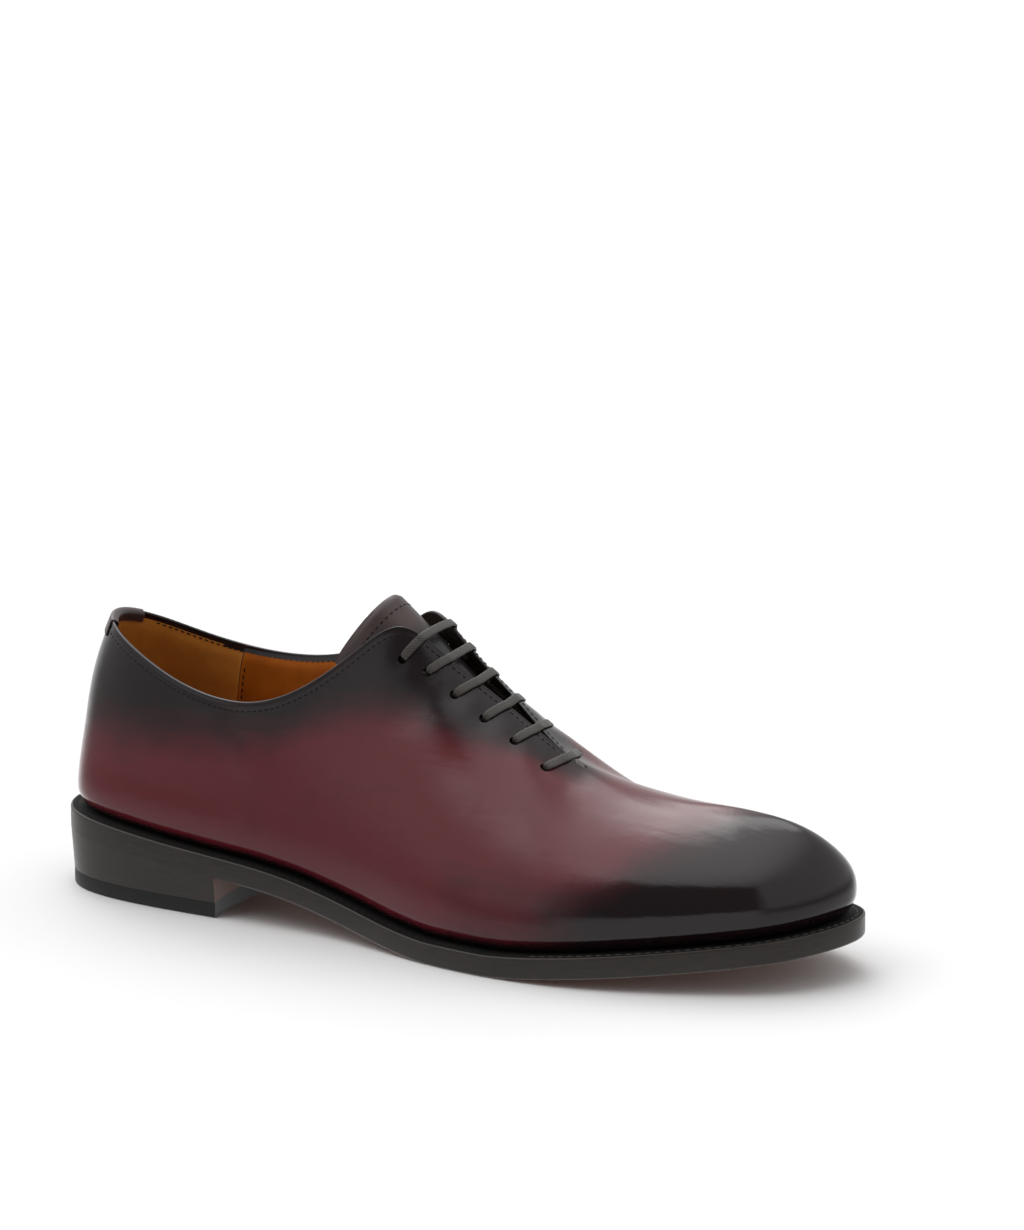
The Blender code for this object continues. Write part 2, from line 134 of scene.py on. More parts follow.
# Top line of the upper (mm): x, lateral y, lateral z, medial y, medial z
TOP = MM * np.array([
    (16.5, 0, 97, 0, 97),
    (23.5, -14.5, 94.5, 15, 92.5),
    (41, -23, 87, 23, 86),
    (64, -27.5, 79, 26.5, 82),
    (88, -27.5, 76.5, 26, 83),
    (109, -24, 84, 23, 89.5),
    (126.5, -18, 97.5, 17.5, 99.5),
    (141, -12, 106, 11.5, 107),
    (157.5, -7, 95.5, 6.5, 97),
    (177, -3, 81.5, 2.5, 82.5),
    (196.5, 0, 67.5, 0, 67.5),
    (215.5, 2, 58.5, 2, 58.5),
    (235, 4, 55, 4, 55),
    (253, 6.5, 54, 6.5, 54),
    (268.5, 8.5, 52.5, 8.5, 52.5),
])

# Section of the upper (mm): inset of the feather line, side out, side up, shoulder out, shoulder down
SECTION = MM * np.array([
    (6.5, 0.5, 31, 9.5, 19),
    (6.5, 0.5, 28, 6.5, 18),
    (7, 1.5, 27, 4, 18),
    (7, 2, 27.5, 3, 16),
    (7, 2, 29.5, 3.5, 16),
    (7, 2, 32.5, 5.5, 18),
    (7, 2, 35, 8, 20),
    (7, 1.5, 36, 10, 18),
    (7, 1, 34.5, 12, 13),
    (7, 1, 31.5, 13, 9),
    (7, 1.5, 28.5, 13.5, 3),
    (7, 2, 26, 14, 0),
    (7, 2.5, 23, 14.5, 0),
    (7, 2.5, 21, 14.5, 0),
    (7, 3, 20, 15, 0),
])
LAST_STATION = len(SOLE) - 1
LOOP = 2 * LAST_STATION
FACING_STATION = 7
THROAT_STATION = 10
print(len(SOLE), "stations from heel to toe")

# %% [markdown]
# ## Smooth line round the shoe
# The lines of a last flow without a corner. Curve objects could be drawn by hand, but a table with a spline
# through it is easy to read and to change. This spline runs round the closed loop of stations: out along the
# lateral side, round the toe and back along the medial side.

# %% Smooth line round the shoe


def both_sides(lateral, medial):
    """Rows of a closed loop: lateral from heel to toe, then medial from toe to heel."""
    return np.concatenate([lateral, medial[-2:0:-1]])


def loop_spline(rows, at):
    """Closed uniform cubic B-spline that passes through the rows."""
    count = len(rows)
    weights = np.eye(count) * 4 / 6
    weights += (np.roll(np.eye(count), 1, axis=0) + np.roll(np.eye(count), -1, axis=0)) / 6
    control = np.linalg.solve(weights, rows)
    start = np.floor(at).astype(int)
    f = (at - start)[:, None]
    basis = ((1 - f) ** 3, 3 * f**3 - 6 * f**2 + 4, -3 * f**3 + 3 * f**2 + 3 * f + 1, f**3)
    return sum(basis[k] / 6 * control[(start + k - 1) % count] for k in range(4))


square = np.array([(0.0, 0.0), (1.0, 0.0), (1.0, 1.0), (0.0, 1.0)])
print("half way along a square's first side the loop is at", loop_spline(square, np.array([0.5]))[0])

# %% [markdown]
# ## Smooth line along a table
# Where a line has two ends, as the underside of the sole has, its table also says how far along each row
# lies. Straight pieces between the rows would show as facets in the polish. A natural cubic spline was
# chosen, because it bends evenly and ends straight.

# %% Smooth line along a table


def line_spline(table, at):
    """Natural cubic spline through rows of (position, values...)."""
    position, values = table[:, 0], table[:, 1:]
    count = len(position)
    step = np.diff(position)
    system = np.eye(count)
    right = np.zeros_like(values)
    for i in range(1, count - 1):
        system[i, i - 1:i + 2] = step[i - 1], 2 * (step[i - 1] + step[i]), step[i]
        right[i] = 6 * ((values[i + 1] - values[i]) / step[i] - (values[i] - values[i - 1]) / step[i - 1])
    bend = np.linalg.solve(system, right)
    i = np.clip(np.searchsorted(position, at) - 1, 0, count - 2)
    after = (at - position[i])[:, None]
    before = (position[i + 1] - at)[:, None]
    h = step[i][:, None]
    return ((bend[i] * before**3 + bend[i + 1] * after**3) / (6 * h)
            + (values[i] / h - bend[i] * h / 6) * before
            + (values[i + 1] / h - bend[i + 1] * h / 6) * after)


print("the arch is", np.round(line_spline(TREAD, np.array([0.1]))[0, 0] / MM, 1), "mm high at 100 mm")

# %% [markdown]
# ## Sole edge and tread
# Welt, outsole, heel and insole all follow the plan of the sole edge, at some inset and height. Each could
# be drawn on its own, but one function for the edge keeps them parallel, as the trimming knife does. The
# underside rises at the arch and at the toe, and lies flat under the ball.

# %% Sole edge and tread
ORIGIN_FINE = 40


def unit(vectors):
    """Vectors of length 1."""
    return vectors / np.linalg.norm(vectors, axis=-1, keepdims=True)


def sole_edge(at):
    """Plan of the sole edge and its outward normal at stations of the loop."""
    rows = both_sides(SOLE[:, [0, 1]], SOLE[:, [0, 2]])
    nudge = 0.001
    along = unit(loop_spline(rows, (at + nudge) % LOOP) - loop_spline(rows, (at - nudge) % LOOP))
    return loop_spline(rows, at), np.column_stack([along[:, 1], -along[:, 0]])


def tread_height(x):
    """Height of the outsole's underside: arch, flat tread at the ball, toe spring."""
    return np.maximum(line_spline(TREAD, x)[:, 0], 0)


def level_loop(at, inset, rise):
    """Loop inside the sole edge, at a height over the underside of the outsole."""
    plan, out = sole_edge(at)
    plan = plan - out * inset
    return np.column_stack([plan, tread_height(plan[:, 0]) + rise])


plan_all, _ = sole_edge(np.linspace(0, LOOP, LOOP * ORIGIN_FINE, endpoint=False))
ORIGIN = np.append((plan_all.min(axis=0) + plan_all.max(axis=0)) / 2, 0)
print("origin of the last", np.round(ORIGIN / MM, 2), "mm")

# %% [markdown]
# ## Top line
# The top line is the edge of the leather: down along the collar, up to the top of the facings and down the
# slit. In front of the throat there is no edge, and the two sides meet on a ridge. Two tables could describe
# that, but one is enough when both sides share their mean from the throat on.

# %% Top line


def top_line(at):
    """Top line of the upper; both sides share the ridge in front of the throat."""
    rows = both_sides(TOP[:, [0, 1, 2]], TOP[:, [0, 3, 4]])
    here = loop_spline(rows, at)
    across = loop_spline(rows, (LOOP - at) % LOOP)
    closed = np.minimum(at, LOOP - at) >= THROAT_STATION
    return np.where(closed[:, None], (here + across) / 2, here)


def ridge_slope(at):
    """Rise of the ridge for each metre towards the toe, zero along the open collar and throat."""
    station = np.minimum(at, LOOP - at)
    nudge = 0.02
    station_in = np.clip(station, 0, LAST_STATION - 2 * nudge)
    step = top_line(station_in + nudge) - top_line(station_in - nudge)
    share = np.clip(station - THROAT_STATION + 1, 0, 1)
    return share**2 * (3 - 2 * share) * step[:, 2] / np.where(share > 0, step[:, 0], 1)


print("throat at", np.round(top_line(np.array([float(THROAT_STATION)]))[0] / MM, 1), "mm")

# %% [markdown]
# ## Face of the upper
# The leather rises from the feather line, where it meets the welt, over the side and the shoulder to the
# top line. A subdivision surface could be pushed into this shape. A function was chosen, because the lace,
# the tab and the stitches can then ask it for a place on the leather.

# %% Face of the upper
FEATHER_TURN = ((3.0, 0.6), (5.0, 7.0))  # mm out and up, for the second and the third control point


def clamped_basis(at, count=6, degree=3):
    """Weights of a cubic B-spline that starts and ends on its first and last control point."""
    knots = np.concatenate([np.zeros(degree), np.linspace(0, 1, count - degree + 1), np.ones(degree)])
    at = np.clip(at, 0, 1 - 1e-9)[:, None]
    basis = ((at >= knots[:-1]) & (at < knots[1:])).astype(float)
    for d in range(1, degree + 1):
        rise = knots[d:-1] - knots[:-d - 1]
        fall = knots[d + 1:] - knots[1:-d]
        up = np.where(rise > 0, (at - knots[:-d - 1]) / np.where(rise > 0, rise, 1), 0)
        down = np.where(fall > 0, (knots[d + 1:] - at) / np.where(fall > 0, fall, 1), 0)
        basis = up * basis[:, :-1] + down * basis[:, 1:]
    return basis


def upper_controls(at):
    """Six control points of the upper's section at each station, from feather line to top line."""
    plan, out = sole_edge(at)
    rows = both_sides(SECTION, SECTION)
    inset, side_out, side_up, shoulder_out, shoulder_down = loop_spline(rows, at).T[:, :, None]
    plan = plan - out * inset
    feather = np.column_stack([plan, tread_height(plan[:, 0]) + WELT_TOP + GAP])
    top = top_line(at)
    flat = np.zeros((len(at), 1))
    out = np.hstack([out, flat])
    side = np.hstack([unit(plan - top[:, :2]), flat])
    up = np.array([[0.0, 0.0, 1.0]])
    fall = shoulder_down - ridge_slope(at)[:, None] * side[:, :1] * shoulder_out
    turned = [feather + out * away * MM + up * rise * MM for away, rise in FEATHER_TURN]
    side_point = feather + out * side_out + up * side_up
    return np.stack([feather, *turned, side_point, top + side * shoulder_out - up * fall, top])


def upper_points(at, height):
    """Points of the upper's outer face at paired stations and heights (0 feather, 1 top line)."""
    return np.einsum("nk,knc->nc", clamped_basis(height), upper_controls(at))


def upper_normals(at, height):
    """Outward normals of the upper's outer face at paired stations and heights."""
    nudge = 0.01
    low = np.clip(height, 2 * nudge, 1 - 2 * nudge)
    along = upper_points((at + nudge) % LOOP, low) - upper_points((at - nudge) % LOOP, low)
    rising = upper_points(at, low + nudge) - upper_points(at, low - nudge)
    return unit(np.cross(along, rising))


side_middle = upper_points(np.array([5.0]), np.array([0.5]))[0]
print("the middle of the outer side is at", np.round(side_middle / MM, 1), "mm")

# %% [markdown]
# ## Add a piece
# Each piece is a closed mesh that rides on the frame's one body and stands for the plain solid it covers.
# Modifiers could thicken single sheets, but here points and faces are given, so that every rim is rounded
# where the real edge is.

# %% Add a piece
SHARP_SOFT, SHARP_FIRM, SHARP_HARD = 60, 50, 40  # degrees beyond which an edge stays sharp


def add_piece(name, points, faces, finishes, stands_for=(), finish_of=None, sharp=None):
    """Mesh piece from points in the last's frame; finish_of gives each face's material number."""
    mesh = bpy.data.meshes.new(name)
    mesh.from_pydata((np.asarray(points) - ORIGIN).tolist(), [], [tuple(int(i) for i in f) for f in faces])
    for finish in finishes:
        mesh.materials.append(finish)
    if finish_of is not None:
        mesh.polygons.foreach_set("material_index", np.asarray(finish_of, dtype=np.int32))
    work = bmesh.new()
    work.from_mesh(mesh)
    bmesh.ops.recalc_face_normals(work, faces=work.faces)
    work.to_mesh(mesh)
    work.free()
    mesh.shade_smooth()
    if sharp is not None:
        mesh.set_sharp_from_angle(angle=np.radians(sharp))
    piece = bpy.data.objects.new(name, mesh)
    bpy.context.scene.collection.objects.link(piece)
    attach(piece, "root")
    if stands_for:
        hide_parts(*stands_for)
    print(name, len(mesh.vertices), "points", len(mesh.polygons), "faces")
    return piece


print("pieces hang on the frame's body, root")

# %% [markdown]
# ## Colours and nodes
# A material is a base colour with some roughness and grain. Painted pictures could hold that, but nodes stay
# sharp at any distance and have a real size. Colours are given as sRGB hex, as a colour picker shows them,
# and one function adds any node with its settings and links.

# %% Colours and nodes


def linear(colour):
    """Linear RGBA of an sRGB hex colour."""
    parts = [int(colour[k:k + 2], 16) / 255 for k in (1, 3, 5)]
    return (*[c / 12.92 if c <= 0.04045 else ((c + 0.055) / 1.055) ** 2.4 for c in parts], 1.0)


def add_node(material, kind, settings=None, links=None):
    """Adds a node; settings are attributes or input values by name or number, links are input: output."""
    tree = material.node_tree
    node = tree.nodes.new(kind)
    for name, value in (settings or {}).items():
        if isinstance(name, str) and hasattr(node, name):
            setattr(node, name, value)
        else:
            node.inputs[name].default_value = value
    for name, output in (links or {}).items():
        tree.links.new(output, node.inputs[name])
    return node


def new_finish(name, settings):
    """Material with its Principled shader, whose even settings are put on the shader's own sockets."""
    finish = bpy.data.materials.new(name)
    finish.use_nodes = True
    shader = finish.node_tree.nodes["Principled BSDF"]
    for socket, value in settings.items():
        shader.inputs[socket].default_value = value
    print("made", name)
    return finish, shader


print("middle grey is", round(linear("#808080")[0], 3), "in linear light")

# %% [markdown]
# ## Polished burgundy calf
# Calf leather that was dyed through, then rubbed by hand with near-black wax at the collar, the lacing and
# the toe, and polished. The eye sees a clear red under a thin glossy skin, soft cloudy edges where the wax
# fades out, and hardly any grain. The wax could be painted on a picture, but a number on each point says
# where it lies, so that it stays put on the last, and noise makes its edge cloudy. The same number also
# carries painted shade: darker just above the welt and low on the sides of the forepart.

# %% Polished burgundy calf
POLISH_CLOUD = 14 * MM
RUB_STREAK = 3 * MM
CALF_PORE = 1.1 * MM  # real pores are about 0.2 mm, drawn coarser so that they show
# The darker stops colour the wax and the painted shade alike.
DYE_AND_SHADE_STOPS = ((0.30, "#451319"), (0.62, "#2b0f13"))  # between the bare red and the full wax

burgundy_calf, shader = new_finish("polished_burgundy_calf", {"IOR": 1.42})
place = add_node(burgundy_calf, "ShaderNodeTexCoord").outputs["Object"]
# The wax number also holds painted shade near the welt and low on the forepart's sides.
wax_and_shade = add_node(burgundy_calf, "ShaderNodeAttribute", {"attribute_name": "wax_and_shade"})
shine = add_node(burgundy_calf, "ShaderNodeAttribute", {"attribute_name": "shine"})
cloud = add_node(burgundy_calf, "ShaderNodeTexNoise", {"Scale": 1 / POLISH_CLOUD, "Detail": 3.0},
                 {"Vector": place})
stretch = add_node(burgundy_calf, "ShaderNodeMapping",
                   {"Rotation": (0.0, 0.12, 0.1), "Scale": (0.12, 1.0, 1.0)}, {"Vector": place})
streak = add_node(burgundy_calf, "ShaderNodeTexNoise", {"Scale": 1 / RUB_STREAK, "Detail": 4.0},
                  {"Vector": stretch.outputs["Vector"]})
drift = add_node(burgundy_calf, "ShaderNodeMath", {"operation": "MULTIPLY_ADD", 1: 0.46, 2: -0.35},
                 {0: cloud.outputs["Fac"]})
rub = add_node(burgundy_calf, "ShaderNodeMath", {"operation": "MULTIPLY_ADD", 1: 0.24},
               {0: streak.outputs["Fac"], 2: drift.outputs["Value"]})
layer = add_node(burgundy_calf, "ShaderNodeMath", {"operation": "ADD", "use_clamp": True},
                 {0: wax_and_shade.outputs["Fac"], 1: rub.outputs["Value"]})
dye_and_shade_ramp = add_node(burgundy_calf, "ShaderNodeValToRGB", {}, {"Fac": layer.outputs["Value"]})
dye_and_shade_ramp.color_ramp.elements[0].position = 0.02
dye_and_shade_ramp.color_ramp.elements[0].color = linear("#54171e")
dye_and_shade_ramp.color_ramp.elements[1].position = 0.98
dye_and_shade_ramp.color_ramp.elements[1].color = linear("#140b0d")
for position, colour in DYE_AND_SHADE_STOPS:
    dye_and_shade_ramp.color_ramp.elements.new(position).color = linear(colour)
burgundy_calf.node_tree.links.new(dye_and_shade_ramp.outputs["Color"], shader.inputs["Base Color"])

# %% [markdown]
# ## Polish on the calf
# The polish fills the pores, so the sheen is smooth, brightest on the toe, with a trace of the cloth's
# strokes and of soft waves in the skin. The relief could be real, but such fine waves would take millions
# of faces, so three bump nodes draw them. The toe's roughness comes from a number on each point.

# %% Polish on the calf
pore = add_node(burgundy_calf, "ShaderNodeTexVoronoi", {"Scale": 1 / CALF_PORE, "Randomness": 0.9},
                {"Vector": place})
waves = add_node(burgundy_calf, "ShaderNodeBump", {"Strength": 0.1, "Distance": 0.0016},
                 {"Height": cloud.outputs["Fac"]})
brushed = add_node(burgundy_calf, "ShaderNodeBump", {"Strength": 0.18, "Distance": 0.0003},
                   {"Height": streak.outputs["Fac"], "Normal": waves.outputs["Normal"]})
grain = add_node(burgundy_calf, "ShaderNodeBump", {"Strength": 0.06, "Distance": 0.00006},
                 {"Height": pore.outputs["Distance"], "Normal": brushed.outputs["Normal"]})
polish = add_node(burgundy_calf, "ShaderNodeMapRange", {"To Min": 0.19, "To Max": 0.07},
                  {"Value": shine.outputs["Fac"]})
gloss = add_node(burgundy_calf, "ShaderNodeMath", {"operation": "MULTIPLY_ADD", 1: 0.09},
                 {0: streak.outputs["Fac"], 2: polish.outputs["Result"]})
burgundy_calf.node_tree.links.new(gloss.outputs["Value"], shader.inputs["Roughness"])
burgundy_calf.node_tree.links.new(grain.outputs["Normal"], shader.inputs["Normal"])
print("the calf has", len(burgundy_calf.node_tree.nodes), "nodes")

# %% [markdown]
# ## Two near tones
# Leather, thread and rubber are never one flat colour: the eye sees two near tones that wander into each
# other. A picture could hold them, but noise with a real size in millimetres needs no picture and no
# unwrapping. The noise is handed back, so that roughness or grain can follow it.

# %% Two near tones


def two_tone(finish, target, stops, size, detail=2.0, place=None):
    """Noise of a real size that moves a socket's colour between two (place on the ramp, colour) stops."""
    if place is None:
        place = add_node(finish, "ShaderNodeTexCoord").outputs["Object"]
    noise = add_node(finish, "ShaderNodeTexNoise", {"Scale": 1 / size, "Detail": detail}, {"Vector": place})
    ramp = add_node(finish, "ShaderNodeValToRGB", {}, {"Fac": noise.outputs["Fac"]})
    for element, (position, colour) in zip(ramp.color_ramp.elements, stops):
        element.position = position
        element.color = linear(colour)
    finish.node_tree.links.new(ramp.outputs["Color"], target)
    return noise.outputs["Fac"]


print("a pattern of 9 mm has the scale", round(1 / (9 * MM)))

# %% [markdown]
# ## Lining leather
# The shoe is lined with vegetable-tanned calf, left tan, dull and a little uneven in colour. Round the heel
# it is a paler suede, and the facings are backed with a dark skin. One leather in one colour would look like
# plastic, so each has two near tones that wander over some millimetres.

# %% Lining leather
LINING_MOTTLE = 9 * MM
LINING_DETAIL = 5.0

tan_lining, shader = new_finish("tan_lining_calf", {"Roughness": 0.7, "IOR": 1.2})
place = add_node(tan_lining, "ShaderNodeTexCoord").outputs["Object"]
two_tone(tan_lining, shader.inputs["Base Color"], ((0.25, "#874307"), (0.75, "#9c520d")), LINING_MOTTLE,
         LINING_DETAIL, place)
hair = add_node(tan_lining, "ShaderNodeTexNoise", {"Scale": 1 / CALF_PORE, "Detail": 3.0}, {"Vector": place})
nap = add_node(tan_lining, "ShaderNodeBump", {"Strength": 0.15, "Distance": 0.0001},
               {"Height": hair.outputs["Fac"]})
tan_lining.node_tree.links.new(nap.outputs["Normal"], shader.inputs["Normal"])

counter_lining, shader = new_finish("suede_counter_lining", {"Roughness": 0.75, "IOR": 1.35})
two_tone(counter_lining, shader.inputs["Base Color"], ((0.25, "#a0601b"), (0.75, "#b47326")), LINING_MOTTLE,
         LINING_DETAIL)

dark_lining, shader = new_finish("dark_facing_lining", {"Roughness": 0.5, "IOR": 1.45})
two_tone(dark_lining, shader.inputs["Base Color"], ((0.0, "#1b1710"), (1.0, "#2b2517")), LINING_MOTTLE,
         LINING_DETAIL)

# %% [markdown]
# ## Lace holes
# Six pairs of plain punched holes stand along the slit, about 12 mm apart. Their places could be typed one
# by one. They are spread evenly over stations and heights of the last instead, so that they follow the edge
# of the facing.

# %% Lace holes
HOLE_PAIRS = 6
HOLE_RADIUS = 1.75 * MM
FAR_HOLE_RADIUS = 1.4 * MM
BAR_STATIONS = (7.45, 10.05)
HOLE_BACK = 0.51  # stations from a bar's place on the slit back to its hole
HOLE_HEIGHTS = (0.942, 0.894)
bar_at = np.linspace(*BAR_STATIONS, HOLE_PAIRS)
hole_at = bar_at - HOLE_BACK
hole_height = np.linspace(*HOLE_HEIGHTS, HOLE_PAIRS)
all_holes_at = np.concatenate([hole_at, LOOP - hole_at])
hole_centres = upper_points(all_holes_at, np.tile(hole_height, 2))
hole_normals = upper_normals(all_holes_at, np.tile(hole_height, 2))
hole_steps = np.linalg.norm(np.diff(hole_centres[:HOLE_PAIRS], axis=0), axis=1)
print("hole pitch", np.round(hole_steps / MM, 1), "mm")

# %% [markdown]
# ## Grid of the upper
# One piece of leather is pulled over the last and closed by a seam at the back. A grid over stations and
# heights gives its outer face, with extra columns at the seams and closer rows at the top line. In front of
# the throat the top points of both sides are made one, so the leather runs over the ridge without a cut.

# %% Grid of the upper
UPPER_FINE = 14
LINING_SEAM, SEAM_HALF = 2.55, 0.02  # stations
BACK_SEAM_STEPS = (0.018, 0.036, 0.054)
FOOT, SHOULDER, TOP_SPAN = 0.12, 0.9, 0.1  # heights where the spacing of the rows changes
FOOT_ROWS, SIDE_ROWS, TOP_ROWS = 10, 36, 15
seam_steps = np.array([*BACK_SEAM_STEPS, LINING_SEAM - SEAM_HALF, LINING_SEAM, LINING_SEAM + SEAM_HALF])
even = np.arange(LOOP * UPPER_FINE) / UPPER_FINE
columns = np.sort(np.concatenate([even, seam_steps, LOOP - seam_steps]))
foot_heights = np.linspace(0, FOOT, FOOT_ROWS)[:-1]
side_heights = np.linspace(FOOT, SHOULDER, SIDE_ROWS)[:-1]
top_heights = SHOULDER + TOP_SPAN * np.sin(np.linspace(0, np.pi / 2, TOP_ROWS))
heights = np.concatenate([foot_heights, side_heights, top_heights])
grid = np.stack([upper_points(columns, np.full(len(columns), h)) for h in heights], axis=1)
number = np.arange(grid.shape[0] * grid.shape[1]).reshape(grid.shape[:2])
joined = (columns > LAST_STATION) & (LOOP - columns >= THROAT_STATION)
mirror = (len(columns) - np.arange(len(columns))) % len(columns)
number[joined, -1] = number[mirror, -1][joined]
kept, number = np.unique(number, return_inverse=True)
number = number.reshape(grid.shape[:2])
outer = grid.reshape(-1, 3)[kept]
station = np.repeat(columns, len(heights))[kept]
level = np.tile(heights, len(columns))[kept]
following = np.roll(number, -1, axis=0)
quads = np.stack([number[:, :-1], following[:, :-1], following[:, 1:], number[:, 1:]], axis=-1)
quads = quads.reshape(-1, 4)
print(len(outer), "points on the outer face")

# %% [markdown]
# ## Measures on the grid
# Seams, wax and lining are all laid out from the top line, as a shoemaker measures them on the leather. The
# distance could be taken straight through space, but here it is summed along each section, so that it
# follows the skin.

# %% Measures on the grid


def point_normals(points, quads):
    """Area-weighted normals of a grid of quads."""
    a, b, c, d = (points[quads[:, k]] for k in range(4))
    face = np.cross(c - a, d - b)
    normals = np.zeros_like(points)
    for k in range(4):
        np.add.at(normals, quads[:, k], face)
    return unit(normals)


def border_edges(quads):
    """Edges with a face on one side only."""
    edges = np.concatenate([quads[:, [k, (k + 1) % 4]] for k in range(4)])
    _, first, count = np.unique(np.sort(edges, axis=1), axis=0, return_index=True, return_counts=True)
    return edges[first[count == 1]]


step_up = np.linalg.norm(np.diff(grid, axis=1), axis=2)
below_top = np.hstack([np.cumsum(step_up[:, ::-1], axis=1)[:, ::-1], np.zeros((len(grid), 1))])
below_top = below_top.reshape(-1)[kept]
around_back = np.minimum(station, LOOP - station)
edges = border_edges(quads)
print("longest section", round(below_top.max() / MM, 1), "mm")

# %% [markdown]
# ## Rounded ridge
# In front of the slit the two sides would meet in a crease, while real leather is pulled smooth over the
# last. A subdivision modifier would round the whole grid. Here only the points near the ridge move along
# their normals to a mean of their surroundings, so nothing else changes.

# %% Rounded ridge
RIDGE_SOFT = 3.5 * MM
RIDGE_ROUNDS = 2
RIDGE_DEPTHS = (18 * MM, 7 * MM)
RIDGE_START = (10.15, 10.7)  # stations
RIDGE_END = (13.3, 12.3)
MEAN_DEPTH = 32 * MM
MEAN_START = 9.7


def soft_step(low, high, value):
    """Smooth rise from 0 at low to 1 at high."""
    t = np.clip((value - low) / (high - low), 0, 1)
    return t * t * (3 - 2 * t)


near_ridge = soft_step(*RIDGE_DEPTHS, below_top) * soft_step(*RIDGE_START, around_back)
near_ridge *= soft_step(*RIDGE_END, around_back)
band = np.flatnonzero(near_ridge > 0)
wide = np.flatnonzero((below_top < MEAN_DEPTH) & (around_back > MEAN_START))
corner = outer[quads]
quad_area = np.linalg.norm(np.cross(corner[:, 2] - corner[:, 0], corner[:, 3] - corner[:, 1]), axis=1) / 2
point_area = np.bincount(quads.ravel(), np.repeat(quad_area, 4), len(outer))
for _ in range(RIDGE_ROUNDS):
    out = point_normals(outer, quads)[band]
    apart = np.linalg.norm(outer[band, None] - outer[None, wide], axis=2)
    weight = point_area[wide] * np.exp(-(apart / RIDGE_SOFT) ** 2)
    mean = weight @ outer[wide] / weight.sum(axis=1, keepdims=True)
    outer[band] += out * (np.sum((mean - outer[band]) * out, axis=1) * near_ridge[band])[:, None]
normals = point_normals(outer, quads)
print(len(band), "points rounded along the ridge")

# %% [markdown]
# ## Soft relief of the leather
# The lace pulls the leather down round each hole, the quarter has soft hollows, the back seam and the row
# of edge stitches press a line, and the leather is drawn in above the welt. These could be sculpted. Small
# bell curves along the normals were chosen, because each has a depth and a width in millimetres.

# %% Soft relief of the leather
HOLE_SINK = 0.55 * MM
HOLE_SINK_SPREAD = 4.5 * MM
# Soft hollows of the worn-in quarter (mm): x, y, z, depth, spread
HOLLOWS = MM * np.array([(149, -22.5, 82, 1.4, 11), (169, -28, 68, 0.7, 14), (206, -8, 60, 0.5, 7)])
SEAM_SINK = 0.25 * MM
SEAM_SPREAD = 0.022  # stations
EDGE_FOLD = 1.4 * MM
EDGE_FOLD_SINK = 0.16 * MM
EDGE_FOLD_SPREAD = 0.45 * MM
TUCK = 1.0 * MM
TUCK_HEIGHTS = (7 * MM, 0.5 * MM)

relief = np.zeros(len(outer))
for centre in hole_centres:
    apart = np.linalg.norm(outer - centre, axis=1)
    relief -= HOLE_SINK * np.exp(-(apart / HOLE_SINK_SPREAD) ** 2)
for *centre, depth, spread in HOLLOWS:
    apart = np.linalg.norm(outer - centre, axis=1)
    relief -= depth * np.exp(-(apart / spread) ** 2)
above_welt = outer[:, 2] - tread_height(outer[:, 0]) - WELT_TOP
relief -= SEAM_SINK * np.exp(-(around_back / SEAM_SPREAD) ** 2)
open_edge = around_back <= THROAT_STATION
relief -= open_edge * EDGE_FOLD_SINK * np.exp(-((below_top - EDGE_FOLD) / EDGE_FOLD_SPREAD) ** 2)
outer = outer + normals * relief[:, None]
inward = TUCK * soft_step(*TUCK_HEIGHTS, above_welt)
outer[:, :2] -= unit(normals[:, :2]) * inward[:, None]
print("deepest relief", round(relief.min() / MM, 2), "mm")

# %% [markdown]
# ## Wall of the upper
# The wall is the calf and its lining together. The edge is skived, which means pared thin, before it is
# folded, and the front lining laps over the heel's. A solidify modifier would give an even wall. The inner
# face is offset by hand instead, so that it can thin out and step, and it stops short of the other facing.

# %% Wall of the upper
COLLAR_SKIVE, FACING_SKIVE_MORE = 0.9, 0.8  # mm pared off
FACING_START = (8.0, 9.0)
SKIVE_DEPTHS = (6 * MM, 0.5 * MM)
LAP_RISE = 0.6 * MM
LAP_HALF = 0.025
LAP_END = (5, 3)
LAP_DEPTHS = (1 * MM, 4 * MM)
thinned = (COLLAR_SKIVE + FACING_SKIVE_MORE * soft_step(*FACING_START, around_back)) * MM
skived = thinned * soft_step(*SKIVE_DEPTHS, below_top) * open_edge
lap = LAP_RISE * soft_step(LINING_SEAM - LAP_HALF, LINING_SEAM + LAP_HALF, around_back)
lap = lap * soft_step(*LAP_END, around_back) * soft_step(*LAP_DEPTHS, below_top)
inner = outer - normals * (UPPER_WALL - skived + lap)[:, None]
throat = (outer[:, 0] > TOP[FACING_STATION, 0]) & (outer[:, 0] < TOP[THROAT_STATION, 0])
side = np.sign(outer[:, 1])
inner[throat, 1] = (side * np.maximum(side * inner[:, 1], GAP))[throat]
print("pared by up to", round(skived.max() / MM, 2), "mm at the edge")

# %% [markdown]
# ## Rim and faces
# Along the collar and the slit the calf is folded over the lining, so the rim is round. A bevel could round
# it, but five points on a half ellipse between the two faces do it without touching the grid. The faces then
# join outer face, rim and lining, and close the wall at the feather line.

